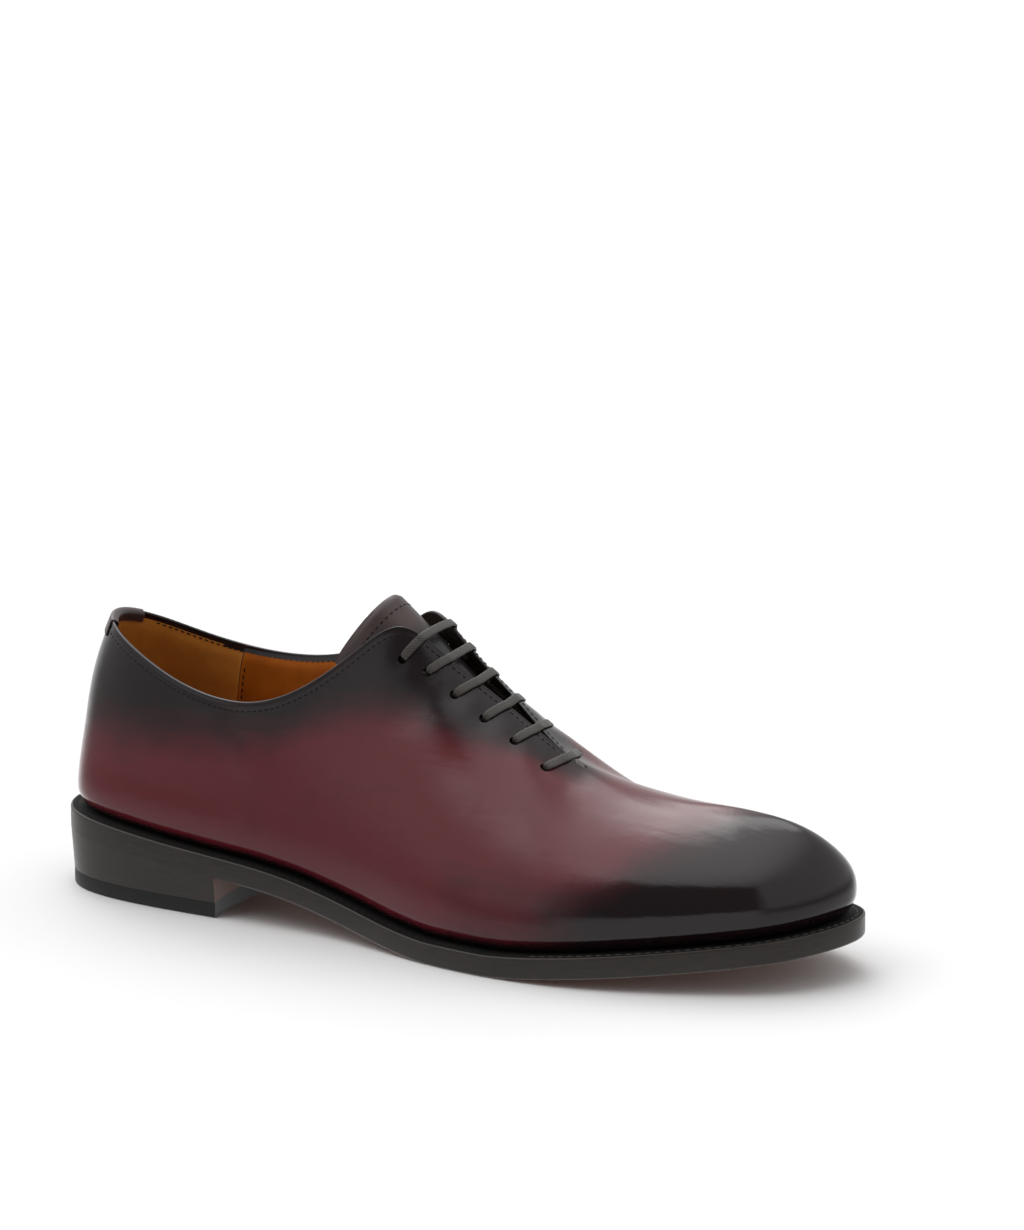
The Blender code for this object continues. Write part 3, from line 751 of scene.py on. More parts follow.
# %% Rim and faces
RIM_ANGLES = np.radians([35, 65, 90, 115, 145])
RIM_RISE = 0.4 * MM
NEAR_END = 0.01
count = len(outer)
top_edges = edges[(level[edges] > 1 - NEAR_END).all(axis=1)]
low_edges = edges[(level[edges] < NEAR_END).all(axis=1)]
rim_points = np.unique(top_edges)
under = np.zeros(count, dtype=int)
under[number[:, -1]] = number[:, -2]
away = unit(outer[rim_points] - outer[under[rim_points]])
middle = (outer[rim_points] + inner[rim_points]) / 2
half = (outer[rim_points] - inner[rim_points]) / 2
rims = [middle + half * np.cos(a) + away * RIM_RISE * np.sin(a) for a in RIM_ANGLES]
rim_number = np.zeros((len(RIM_ANGLES) + 2, count), dtype=int)
rim_number[0] = np.arange(count)
rim_number[-1] = np.arange(count) + count
for k in range(len(RIM_ANGLES)):
    rim_number[k + 1, rim_points] = 2 * count + k * len(rim_points) + np.arange(len(rim_points))
faces = [tuple(q) for q in quads] + [tuple(q[::-1] + count) for q in quads]
for upper_run, lower_run in zip(rim_number, rim_number[1:]):
    faces += [(upper_run[b], upper_run[a], lower_run[a], lower_run[b]) for a, b in top_edges]
faces += [(b, a, a + count, b + count) for a, b in low_edges]
print(len(rim_points), "points along the rim")

# %% [markdown]
# ## Where each leather shows
# Outside, all is burgundy calf, and its folded edge shows inside as well. The lining is suede round the
# heel, dark skin behind the facings and tan calf further down and forward. Separate sheets could lie inside,
# but they would need gaps. One closed piece whose faces take different materials can't come apart.

# %% Where each leather shows
CALF, TAN, DARK, SUEDE = range(4)
LINING_TURN = 2.0 * MM
SEAM_SHIFT, SEAM_LINE_HALF = 0.01, 0.008
DARK_STATIONS = (6.2, 10.6)
DARK_DEPTH = 26 * MM
quad_below = below_top[quads].mean(axis=1)
quad_station = around_back[quads].mean(axis=1)
lining_of = np.where(quad_station < LINING_SEAM, SUEDE, TAN)
lining_of = np.where(np.abs(quad_station - LINING_SEAM - SEAM_SHIFT) < SEAM_LINE_HALF, DARK, lining_of)
lining_of = np.where(quad_below < LINING_TURN, CALF, lining_of)
behind_facing = (quad_station > DARK_STATIONS[0]) & (quad_station < DARK_STATIONS[1])
lining_of = np.where(behind_facing & (quad_below < DARK_DEPTH), DARK, lining_of)
outside_of = np.full(len(quads), CALF)
edge_of = np.full(len(faces) - 2 * len(quads), CALF)
upper = add_piece("upper_leather", np.concatenate([outer, inner, *rims]), faces,
                  [burgundy_calf, tan_lining, dark_lining, counter_lining], ["upper"],
                  np.concatenate([outside_of, lining_of, edge_of]))

# %% [markdown]
# ## Punch the lace holes
# The holes are punched through the finished wall, square to the leather. The grid could be built round
# them, but a boolean with twelve small cylinders does what the punch does. The cut is applied to the mesh
# at once, so that the next steps see the real points.

# %% Punch the lace holes
PUNCH_SIDES = 28
PUNCH_LENGTH = 9 * MM
punches = bmesh.new()
radii = np.repeat([HOLE_RADIUS, FAR_HOLE_RADIUS], HOLE_PAIRS)
for centre, normal, radius in zip(hole_centres - ORIGIN, hole_normals, radii):
    turn = Vector(normal).to_track_quat("Z", "Y").to_matrix().to_4x4()
    turn.translation = Vector(centre)
    bmesh.ops.create_cone(punches, cap_ends=True, segments=PUNCH_SIDES, radius1=radius, radius2=radius,
                          depth=PUNCH_LENGTH, matrix=turn)
punch_mesh = bpy.data.meshes.new("lace_punch")
punches.to_mesh(punch_mesh)
punches.free()
punch = bpy.data.objects.new("lace_punch", punch_mesh)
bpy.context.scene.collection.objects.link(punch)
cut = upper.modifiers.new("lace_holes", "BOOLEAN")
cut.operation = "DIFFERENCE"
cut.solver = "EXACT"
cut.object = punch
cut_mesh = bpy.data.meshes.new_from_object(upper.evaluated_get(bpy.context.evaluated_depsgraph_get()))
upper.modifiers.clear()
upper.data = cut_mesh
bpy.data.objects.remove(punch)
print("upper after punching", len(cut_mesh.polygons), "faces")

# %% [markdown]
# ## Where the dark wax and the painted shade lie
# On the real shoe the wax is rubbed in by hand: black along the collar, fading out at mid-quarter; a broad
# dark field round the lacing; and a dark mirror-shined toe. It could be painted by hand. Smooth functions of
# the place on the last were chosen, stored on the points, so the colour stays put from every side. The same
# number adds painted shade just above the welt and low on the sides of the forepart.

# %% Dark wax and painted shade on the points
# All places and fades in mm: along the shoe from the heel, over the floor or over the welt
FIELD_X = (95, 112, 127, 142, 157, 172, 187, 200)
FIELD_WIDTH = (12, 12, 17, 27, 32, 28, 20, 13)  # from the edge to the middle of the fade
FIELD_FADE = 10
HEEL_FADE, HEEL_FADE_START, HEEL_FADE_RISE = (45, 76), 30, 0.08
FORWARD_FADE = (85, 115)
TOE_FADE, TOE_LEAN, TOE_LEVEL = (200, 237), 1.5, 24
# Painted shade, not wax: the last few mm of the upper above the welt, where it turns under into the crevice.
FEATHER_FADE, FEATHER_SHADE = (5.0, 1.5), 0.85
# Painted shade low on the sides of the forepart.
SHADE_ALONG, SHADE_UP, SHADE_DARKNESS = (160, 185), (38, 28), 0.25
SHINE_TOE, SHINE_LOW, SHINE_LOW_SHARE = (212, 250), (26, 12), 0.6
x, _, z = (outer / MM).T
past_throat = np.maximum(x - TOP[THROAT_STATION, 0] / MM, 0)
from_edge = np.hypot(below_top / MM, past_throat)
field = np.interp(x, FIELD_X, FIELD_WIDTH)
edge_band = soft_step(field + FIELD_FADE, field - FIELD_FADE, from_edge)
heel_band = soft_step(*HEEL_FADE, z - HEEL_FADE_RISE * np.maximum(x - HEEL_FADE_START, 0))
forward = soft_step(*FORWARD_FADE, x)
collar = heel_band * (1 - forward) + edge_band * forward
toe = soft_step(*TOE_FADE, x - TOE_LEAN * np.maximum(z - TOE_LEVEL, 0))
# Painted shade and painted reflection of the black welt, darkest just above the welt.
feather = FEATHER_SHADE * soft_step(*FEATHER_FADE, above_welt / MM)
# Painted shade: darker low on the sides of the forepart.
shade = SHADE_DARKNESS * soft_step(*SHADE_ALONG, x) * soft_step(*SHADE_UP, z)
wax_and_shade_of = 1 - (1 - collar) * (1 - toe) * (1 - feather) * (1 - shade)
shine_of = np.maximum(soft_step(*SHINE_TOE, x), SHINE_LOW_SHARE * soft_step(*SHINE_LOW, above_welt / MM))

tree = KDTree(count)
for i, point in enumerate(outer - ORIGIN):
    tree.insert(point, i)
tree.balance()
nearest = np.array([tree.find(v.co)[1] for v in upper.data.vertices])
# Stored as one number: the real wax together with the painted shade.
for name, values in (("wax_and_shade", wax_and_shade_of), ("shine", shine_of)):
    layer_data = upper.data.attributes.new(name, "FLOAT", "POINT")
    layer_data.data.foreach_set("value", values[nearest].astype(np.float32))
upper.data.shade_smooth()
upper.data.set_sharp_from_angle(angle=np.radians(SHARP_FIRM))
print("share of the outer face under wax", round(float(wax_and_shade_of.mean()), 2))

# %% [markdown]
# ## Tongue leather
# The tongue and the tab are cut from darker calf that was polished less, so it looks satin and its grain
# shows. A second wax layer could be drawn for it, but two near tones are enough on so small a piece. Deep
# under the lacing it is painted nearly black as shade, which a number on its points says.

# %% Tongue leather
tongue_calf, shader = new_finish("tongue_calf", {"IOR": 1.48, "Coat Weight": 0.1, "Coat Roughness": 0.25})
place = add_node(tongue_calf, "ShaderNodeTexCoord").outputs["Object"]
# Painted shade: the tongue turns nearly black deep under the lacing, where the facings shade it.
deep = add_node(tongue_calf, "ShaderNodeAttribute", {"attribute_name": "deep"})
shaded = add_node(tongue_calf, "ShaderNodeMix", {"data_type": "RGBA", "B": linear("#0c0708")},
                  {"Factor": deep.outputs["Fac"]})
mottle = two_tone(tongue_calf, shaded.inputs["A"], ((0.3, "#2e2020"), (0.75, "#3e2a2a")), POLISH_CLOUD,
                  detail=4.0, place=place)
pore = add_node(tongue_calf, "ShaderNodeTexVoronoi", {"Scale": 1 / CALF_PORE, "Randomness": 0.9},
                {"Vector": place})
grain = add_node(tongue_calf, "ShaderNodeBump", {"Strength": 0.12, "Distance": 0.00008},
                 {"Height": pore.outputs["Distance"]})
worn = add_node(tongue_calf, "ShaderNodeMapRange", {"To Min": 0.38, "To Max": 0.48}, {"Value": mottle})
tongue_calf.node_tree.links.new(shaded.outputs["Result"], shader.inputs["Base Color"])
tongue_calf.node_tree.links.new(worn.outputs["Result"], shader.inputs["Roughness"])
tongue_calf.node_tree.links.new(grain.outputs["Normal"], shader.inputs["Normal"])

# %% [markdown]
# ## Faces between runs of points
# Tongue, sole, heel, tab, lace and stitches are all stacks of loops. Blender can bridge loops by itself, but
# it guesses which points belong together. Here every loop has the same number of points, so the quads
# between two loops follow from their numbers.

# %% Faces between runs of points


def run_numbers(runs):
    """Point numbers of equal runs laid one after another."""
    count = len(runs[0])
    return [list(range(k * count, (k + 1) * count)) for k in range(len(runs))]


def band_faces(first, second):
    """Quads between two equal closed runs of point numbers."""
    following = [*range(1, len(first)), 0]
    return [(first[i], first[j], second[j], second[i]) for i, j in enumerate(following)]


def sleeve_faces(numbers):
    """Quads between closed runs that follow each other."""
    return [face for here, after in zip(numbers, numbers[1:]) for face in band_faces(here, after)]


def capped_faces(numbers):
    """Faces of a sleeve with a flat cap at each end, the caps first."""
    return [tuple(numbers[0]), tuple(numbers[-1])] + sleeve_faces(numbers)


print("a tube of three squares has", len(capped_faces(run_numbers(np.zeros((3, 4))))), "faces")

# %% [markdown]
# ## Tongue
# A thin arched flap under the facings, lined with tan leather. It could be a bent plane with a thickness.
# Since it follows the straight line of the instep, arched sections along that line were chosen. They wrap
# further towards the top, and they round off at both ends.

# %% Tongue
# Rows (mm, degrees): distance up the instep line, height of the crest over it, half width, depth, half wrap
TONGUE = np.array([
    (-6, -2.7, 14, 11, 76),
    (12, -2.9, 15.5, 13.5, 80),
    (30, -2.7, 15.5, 16, 78),
    (50, -1.1, 14.5, 18.5, 82),
    (66, 0.5, 14.5, 21, 94),
    (81, 1.8, 14.8, 24, 100),
])
INSTEP_SLOPE = np.array([-0.827, 0.0, 0.562])
INSTEP_NORMAL = np.array([0.562, 0.0, 0.827])
TONGUE_THICK = 1.6 * MM
TONGUE_POINTS = 41
TONGUE_LOW, TONGUE_HIGH, TONGUE_ROWS = -6, 81, 60
TONGUE_ROUND = 0.8
TONGUE_SHADE_FADE = (70, 60)


def tongue_section(along, skin, turn):
    """Points across the tongue at a distance up the instep line, at a depth under its outer face."""
    crest, half_width, depth, wrap = line_spline(TONGUE, np.array([along]))[0]
    angle = np.radians(wrap) * turn
    throat_end = top_line(np.array([float(THROAT_STATION)]))[0]
    centre = throat_end + INSTEP_SLOPE * along * MM + INSTEP_NORMAL * crest * MM
    drop = skin + (depth * MM - skin) * (1 - np.cos(angle))
    width = (half_width * MM - skin) * np.sin(angle)
    return centre - np.outer(drop, INSTEP_NORMAL) + np.outer(width, (0, 1, 0))


turn = np.linspace(-1, 1, TONGUE_POINTS)
rows_up = np.linspace(TONGUE_LOW, TONGUE_HIGH, TONGUE_ROWS)
runs = []
for along in rows_up:
    from_end = min(TONGUE_HIGH - along, along - TONGUE_LOW)
    round_off = TONGUE_THICK / 2 * (1 - np.sqrt(np.clip(from_end / TONGUE_ROUND, 0, 1)))
    outside = tongue_section(along, round_off, turn)
    inside = tongue_section(along, TONGUE_THICK - round_off, turn)
    runs.append(np.concatenate([outside, inside[::-1]]))
band_finish = [0] * TONGUE_POINTS + [1] * (TONGUE_POINTS - 1) + [0]
tongue = add_piece("tongue_flap", np.concatenate(runs), capped_faces(run_numbers(runs)),
                   [tongue_calf, tan_lining], ["tongue"],
                   [0, 0] + band_finish * (TONGUE_ROWS - 1), SHARP_SOFT)
# Painted shade, full low under the lacing and gone towards the top.
tongue_shade_of = np.repeat(soft_step(*TONGUE_SHADE_FADE, rows_up), 2 * TONGUE_POINTS).astype(np.float32)
tongue.data.attributes.new("deep", "FLOAT", "POINT").data.foreach_set("value", tongue_shade_of)

# %% [markdown]
# ## Insole
# The footbed that the foot stands on: tan leather over the cork filling. A flat slab with a bevel would miss
# the arch, so loops inside the sole edge are stacked from the top down. The first loops round the upper edge,
# and the last two are the narrower filling.

# %% Insole
FINE_STEPS = 16
loop_at = np.arange(LOOP * FINE_STEPS) / FINE_STEPS
insole_top = WELT_TOP + GAP + INSOLE_THICK
# Rows (mm): inset from the sole edge, height against the insole's top
INSOLE_PROFILE = ((9.5, 0.0), (8.9, -0.15), (8.6, -0.5), (8.5, -1.0), (8.5, -3.0), (15.3, -3.0), (15.3, -6.0))


def ladder_faces(loop):
    """Cap of a loop that starts at the heel: rungs join the lateral and the medial side."""
    count = len(loop)
    half = count // 2
    faces = [(loop[0], loop[1], loop[-1]), (loop[half - 1], loop[half], loop[half + 1])]
    faces += [(loop[i], loop[i + 1], loop[count - i - 1], loop[count - i]) for i in range(1, half - 1)]
    return faces


runs = [level_loop(loop_at, inset * MM, insole_top + rise * MM) for inset, rise in INSOLE_PROFILE]
numbers = run_numbers(runs)
faces = ladder_faces(numbers[0]) + ladder_faces(numbers[-1]) + sleeve_faces(numbers)
add_piece("insole_sock", np.concatenate(runs), faces, [tan_lining], ["insole"], None,
          SHARP_FIRM)

# %% [markdown]
# ## Waxed black edge
# The edges of welt, sole and heel are trimmed, stained black and burnished with hot wax, so the eye sees
# dark satin with a trace of fibres that lie along the layers. A plain black would look like plastic. Noise
# that is stretched along the layers gives colour, roughness and a slight ripple together.

# %% Waxed black edge
EDGE_FIBRE = 1.6 * MM
FIBRE_DETAIL = 5.0

edge_wax, shader = new_finish("black_waxed_edge_leather", {"IOR": 1.45})
place = add_node(edge_wax, "ShaderNodeTexCoord").outputs["Object"]
flatten = add_node(edge_wax, "ShaderNodeMapping", {"Scale": (0.25, 0.25, 1.6)}, {"Vector": place})
fibre = two_tone(edge_wax, shader.inputs["Base Color"], ((0.3, "#15100c"), (0.8, "#271d16")), EDGE_FIBRE,
                 FIBRE_DETAIL, flatten.outputs["Vector"])
rough = add_node(edge_wax, "ShaderNodeMapRange", {"To Min": 0.34, "To Max": 0.5}, {"Value": fibre})
ripple = add_node(edge_wax, "ShaderNodeBump", {"Strength": 0.12, "Distance": 0.0001}, {"Height": fibre})
edge_wax.node_tree.links.new(rough.outputs["Result"], shader.inputs["Roughness"])
edge_wax.node_tree.links.new(ripple.outputs["Normal"], shader.inputs["Normal"])

# %% [markdown]
# ## Ledge of the welt and natural sole leather
# The top of the welt is stained but not burnished, so it stays dull; its colour is drawn nearly black, darker
# than the edge, as painted shade of the crevice under the upper. Under the sole and on the breast of the heel
# the oak-tanned leather keeps its red-brown colour, blotchy and slightly pitted. Both could share the edge's
# material, but the eye tells them apart by their sheen.

# %% Ledge of the welt and natural sole leather
BARK_BLOTCH = 12 * MM
BARK_PIT = 0.9 * MM

# Painted shade: the welt's top is darker than its edge because the crevice shades it.
shaded_welt_ledge, shader = new_finish("dull_black_welt_leather", {"IOR": 1.3, "Roughness": 0.8})
two_tone(shaded_welt_ledge, shader.inputs["Base Color"], ((0.0, "#0a0908"), (1.0, "#151210")), EDGE_FIBRE,
         FIBRE_DETAIL)

sole_bark, shader = new_finish("oak_bark_sole_leather", {"IOR": 1.3})
place = add_node(sole_bark, "ShaderNodeTexCoord").outputs["Object"]
blotch = two_tone(sole_bark, shader.inputs["Base Color"], ((0.3, "#4a2411"), (0.75, "#63341b")), BARK_BLOTCH,
                  detail=6.0, place=place)
fine = add_node(sole_bark, "ShaderNodeTexNoise", {"Scale": 1 / BARK_PIT, "Detail": 3.0}, {"Vector": place})
rough = add_node(sole_bark, "ShaderNodeMapRange", {"To Min": 0.42, "To Max": 0.6}, {"Value": blotch})
pitted = add_node(sole_bark, "ShaderNodeBump", {"Strength": 0.2, "Distance": 0.0001},
                  {"Height": fine.outputs["Fac"]})
sole_bark.node_tree.links.new(rough.outputs["Result"], shader.inputs["Roughness"])
sole_bark.node_tree.links.new(pitted.outputs["Normal"], shader.inputs["Normal"])

# %% [markdown]
# ## Welt
# A strip of leather sewn all round the feather line, which the sole is stitched to. It could be a curve with
# a bevel profile. A list of insets and heights was chosen, because the same loops then carry the rounded
# outer edge, the shallow dip that holds the stitches and the change from burnished to dull leather.

# %% Welt
# Rows (mm): inset from the sole edge, height against the welt's top
WELT_PROFILE = (
    (0.02, -3.0), (0.02, -2.9), (0.02, -0.75), (0.06, -0.45), (0.22, -0.15), (0.5, 0.0), (0.7, 0.0),
    (2.0, 0.0), (2.3, -0.12), (2.7, -0.2), (3.1, -0.12), (3.4, 0.0), (6.0, 0.0), (15.0, 0.0), (15.0, -3.0),
)
BURNISHED_ROWS = 6
runs = [level_loop(loop_at, inset * MM, WELT_TOP + rise * MM) for inset, rise in WELT_PROFILE]
numbers = run_numbers(runs)
faces = sleeve_faces(numbers + numbers[:1])
finish_of = np.repeat((np.arange(len(numbers)) >= BURNISHED_ROWS).astype(int), len(loop_at))
add_piece("welt_strip", np.concatenate(runs), faces, [edge_wax, shaded_welt_ledge], ["welt"],
          finish_of, SHARP_FIRM)

# %% [markdown]
# ## Outsole
# A leather slab under the welt, with a burnished edge, a rounded lower corner and a closed channel over the
# hidden stitches. It could be cut from a box. Loops at an inset and a height were chosen again, and the
# corner and the channel fade out where the heel covers them.

# %% Outsole
# Rows (mm): inset from the sole edge, height over the underside. The shallow line is the stitch channel.
SOLE_PROFILE = (
    (0.0, 4.5), (0.0, 4.4), (0.0, 1.0), (0.1, 0.45), (0.35, 0.12), (0.8, 0.0), (5.0, 0.0), (5.25, 0.18),
    (5.5, 0.0),
)
HEEL_BREAST_X = 78 * MM
BREAST_FADE = 2 * MM
CORNER_INSET = 1  # mm, the rows of the rounded corner lie within it
UPPER_RISE = 2  # mm, the rows above it keep their height under the heel
EDGE_ROWS = 4
edge_x = sole_edge(loop_at)[0][:, 0]
free_edge = soft_step(HEEL_BREAST_X - BREAST_FADE, HEEL_BREAST_X + BREAST_FADE, edge_x)
runs = []
for inset, rise in SOLE_PROFILE:
    rounded = free_edge if 0 < inset < CORNER_INSET else np.ones(len(loop_at))
    kept_rise = rise if inset == 0 and rise > UPPER_RISE else rise * free_edge
    runs.append(level_loop(loop_at, (inset * rounded * MM)[:, None], kept_rise * MM))
numbers = run_numbers(runs)
top_cap, low_cap = ladder_faces(numbers[0]), ladder_faces(numbers[-1])
band_finish = np.repeat((np.arange(len(numbers) - 1) >= EDGE_ROWS).astype(int), len(loop_at))
finish_of = [0] * len(top_cap) + band_finish.tolist() + [1] * len(low_cap)
add_piece("outsole_leather", np.concatenate(runs), top_cap + sleeve_faces(numbers) + low_cap,
          [edge_wax, sole_bark], ["outsole"], finish_of, SHARP_FIRM)

# %% [markdown]
# ## Plan of the heel
# The heel follows the sole edge round the back and has a hollow breast in front. A boolean could cut it from
# the sole's shape. Its plan is drawn as one loop instead, the sole edge and then a shallow arc, so block and
# top lift can share it.

# %% Plan of the heel
BREAST_HOLLOW = 4.5 * MM
HEEL_SIDE_POINTS = 161
BREAST_POINTS = 41
BREAST_FINE = 50


def heel_loop(inset):
    """Plan of the heel: the sole edge back from a hollow breast."""
    steps = np.linspace(0, LAST_STATION, LAST_STATION * BREAST_FINE)
    breast = np.interp(HEEL_BREAST_X, sole_edge(steps)[0][:, 0], steps)
    plan, out = sole_edge(np.linspace(-breast, breast, HEEL_SIDE_POINTS) % LOOP)
    plan = plan - out * inset
    across = np.linspace(-1, 1, BREAST_POINTS)[1:-1, None]
    straight = (plan[:1] * (1 - across) + plan[-1:] * (1 + across))[::-1] / 2
    hollow = straight - np.hstack([BREAST_HOLLOW * (1 - across**2), 0 * across])
    return np.concatenate([plan, hollow])


def heel_piece(name, runs, finishes, node):
    """Stack of heel loops, with the breast in the second finish."""
    numbers = run_numbers(runs)
    points = np.concatenate(runs)
    faces = sleeve_faces(numbers)
    finish_of = [int(i >= HEEL_SIDE_POINTS - 1) for i in range(len(runs[0]))] * (len(runs) - 1)
    for loop in (numbers[0], numbers[-1]):
        flat = [Vector((points[i][0], points[i][1], 0)) for i in loop]
        faces += [tuple(loop[i] for i in triangle) for triangle in tessellate_polygon([flat])]
    finish_of += [0] * (len(faces) - len(finish_of))
    return add_piece(name, points, faces, finishes, [node], finish_of, SHARP_HARD)


print("heel plan has", len(heel_loop(0)), "points")

# %% [markdown]
# ## Heel
# The heel is a stack of leather lifts, glued, trimmed with a slight taper and burnished like the sole, so
# the joints between the lifts are faint lines. Separate slabs could be stacked. One block with a shallow
# groove at each joint was chosen, because the real joints are closed.

# %% Heel
LIFT_THICK = 5.5 * MM
HEEL_TAPER = 1.0 * MM
HEEL_ROWS = 41
STACK_LIFT = 4.4 * MM
STACK_LINE = 0.04 * MM
STACK_LINE_WIDTH = 0.0012  # squared share of a lift
plan = heel_loop(0)
pressed = heel_loop(1.0) - plan
top_z = tread_height(plan[:, 0])
runs = []
for share in np.linspace(0, 1, HEEL_ROWS):
    z = top_z + (LIFT_THICK - top_z) * share
    line = np.exp(-(((z - LIFT_THICK) / STACK_LIFT + 0.5) % 1 - 0.5) ** 2 / STACK_LINE_WIDTH)
    runs.append(np.column_stack([plan + pressed * (HEEL_TAPER * share + STACK_LINE * line)[:, None], z]))
heel_piece("heel_block", runs, [edge_wax, sole_bark], "heel")

# %% [markdown]
# ## Top lift
# The wearing layer under the heel is black rubber, dull and slightly speckled. A bevelled block would do.
# It reuses the heel's plan with small insets instead, so its rounded edges follow the heel.

# %% Top lift
RUBBER_SPECK = 0.8 * MM
# Rows (mm): inset from the sole edge, height over the floor
LIFT_PROFILE = ((1.3, 5.5), (1.05, 5.4), (1.0, 5.1), (1.0, 0.6), (1.15, 0.2), (1.6, 0.0))
lift_rubber, shader = new_finish("black_heel_rubber", {"IOR": 1.35, "Roughness": 0.6})
speck = two_tone(lift_rubber, shader.inputs["Base Color"], ((0.0, "#0f0f0f"), (1.0, "#1d1c1b")), RUBBER_SPECK,
                 detail=4.0)
matt = add_node(lift_rubber, "ShaderNodeBump", {"Strength": 0.15, "Distance": 0.0001}, {"Height": speck})
lift_rubber.node_tree.links.new(matt.outputs["Normal"], shader.inputs["Normal"])
runs = [np.column_stack([heel_loop(inset * MM), np.full(len(plan), rise * MM)])
        for inset, rise in LIFT_PROFILE]
heel_piece("heel_top_lift", runs, [lift_rubber, lift_rubber], "top_lift")

# %% [markdown]
# ## Heel tab
# A small leather tab is folded over the collar at the top of the back seam and sewn down. A cloth
# simulation could drape it. A thin skin was chosen that asks the upper for its places and runs up the
# outside, over the rim and a little way down the lining.

# %% Heel tab
TAB_THICK = 0.6 * MM
TAB_STATIONS = 0.85
TAB_FAR = 0.62
TAB_POINTS = 45
TAB_OUTSIDE = np.linspace(0.966, 0.998, 8)
TAB_FOLD = np.radians([30, 60, 90, 120, 150])
TAB_INSIDE = np.linspace(0.998, 0.982, 5)
TAB_BEVEL = 0.25 * MM
tab_at = np.linspace(-TAB_FAR, TAB_STATIONS, TAB_POINTS) % LOOP


def tab_skin(offset):
    """Rows of points of the tab at a distance from the collar leather, from outside to inside."""
    rows = []
    top = upper_points(tab_at, np.full(len(tab_at), 1.0))
    out = upper_normals(tab_at, np.full(len(tab_at), 1.0))
    rise = np.array([0.0, 0.0, 1.0])
    for h in TAB_OUTSIDE:
        flat = np.full(len(tab_at), h)
        rows.append(upper_points(tab_at, flat) + upper_normals(tab_at, flat) * offset)
    for a in TAB_FOLD:
        swing = (UPPER_WALL / 2 + offset) * np.cos(a)
        rows.append(top - out * UPPER_WALL / 2 + out * swing + rise * (RIM_RISE + offset) * np.sin(a))
    for h in TAB_INSIDE:
        flat = np.full(len(tab_at), h)
        rows.append(upper_points(tab_at, flat) - upper_normals(tab_at, flat) * (UPPER_WALL + offset))
    return rows


runs = list(np.stack(tab_skin(TAB_THICK) + tab_skin(0.0)[::-1], axis=1))
tab = add_piece("heel_tab_leather", np.concatenate(runs), capped_faces(run_numbers(runs)), [tongue_calf],
                ["heel_tab"], None, SHARP_FIRM)
soft_edge = tab.modifiers.new("soft_edge", "BEVEL")
soft_edge.width = TAB_BEVEL
soft_edge.segments = 2
soft_edge.angle_limit = np.radians(SHARP_FIRM)

# %% [markdown]
# ## Waxed lace
# The lace is flat woven cotton, soaked with wax, so it is dark and dull with a fine slanting weave. The
# threads could be modelled, but at this size a wave pattern shows the same. It is laid along the lace's own
# length and width, which are stored on its points, so that it bends with the lace.

# %% Waxed lace
LACE_WIDTH = 3.2 * MM
LACE_THICK = 0.75 * MM
LACE_WEAVE = 0.6 * MM
WAVE_SCALE = 0.31  # scale at which a wave, a light and a dark thread, takes two units along the lace

waxed_cotton, shader = new_finish("waxed_cotton_lace", {"Roughness": 0.5, "IOR": 1.45, "Sheen Weight": 0.1})
weave_place = add_node(waxed_cotton, "ShaderNodeAttribute", {"attribute_name": "weave"})
weave = add_node(waxed_cotton, "ShaderNodeTexWave",
                 {"bands_direction": "DIAGONAL", "Scale": WAVE_SCALE / LACE_WEAVE, "Distortion": 0.4},
                 {"Vector": weave_place.outputs["Vector"]})
cotton = add_node(waxed_cotton, "ShaderNodeValToRGB", {}, {"Fac": weave.outputs["Fac"]})
cotton.color_ramp.elements[0].color = linear("#241f1d")
cotton.color_ramp.elements[1].color = linear("#363029")
ridge = add_node(waxed_cotton, "ShaderNodeBump", {"Strength": 0.35, "Distance": 0.00012},
                 {"Height": weave.outputs["Fac"]})
waxed_cotton.node_tree.links.new(cotton.outputs["Color"], shader.inputs["Base Color"])
waxed_cotton.node_tree.links.new(ridge.outputs["Normal"], shader.inputs["Normal"])

# %% [markdown]
# ## Places on the facings
# The lace lies on the leather with all its soft relief, between a hole and the edge of the slit. A shrinkwrap
# modifier could press it down. Here each place is moved onto the nearest point's plane, because the same
# function gives the normal that the lace stands on.

# %% Places on the facings
LATERAL, MEDIAL = -1, 1
LOWEST_BAR = HOLE_PAIRS - 1
LOWEST_SHIFT = 0.13  # stations towards the toe, so that the lowest bar stays straight
rim_at = bar_at + LOWEST_SHIFT * (np.arange(HOLE_PAIRS) == LOWEST_BAR)


def on_leather(point):
    """The point moved onto the outer face along its normal, and that normal."""
    nearest = tree.find(point - ORIGIN)[1]
    out = normals[nearest]
    return point + out * np.dot(outer[nearest] - point, out), out


def face_at(bar, side, share):
    """Place and normal on a facing, straight from its hole (share 0) to the edge of the slit (share 1)."""
    at = np.array([hole_at[bar], rim_at[bar]])
    hole, rim = upper_points(at if side < 0 else LOOP - at, np.array([hole_height[bar], 1.0]))
    return on_leather(hole + (rim - hole) * share)


top_hole, top_rim = (face_at(0, LATERAL, share)[0] for share in (0.0, 1.0))
print("top hole is", round(np.linalg.norm(top_rim - top_hole) / MM, 1), "mm from the slit")

# %% [markdown]
# ## Route of the lace
# The lacing lies in straight bars. A bar crosses the slit, goes down through a hole, runs under the facing
# past one hole and comes out for its next bar. Six loose strips would do for the eye, but one continuous
# route was chosen, so that the lace is seen to enter each hole. Its ends stop inside, at the two top holes
# of the medial side.

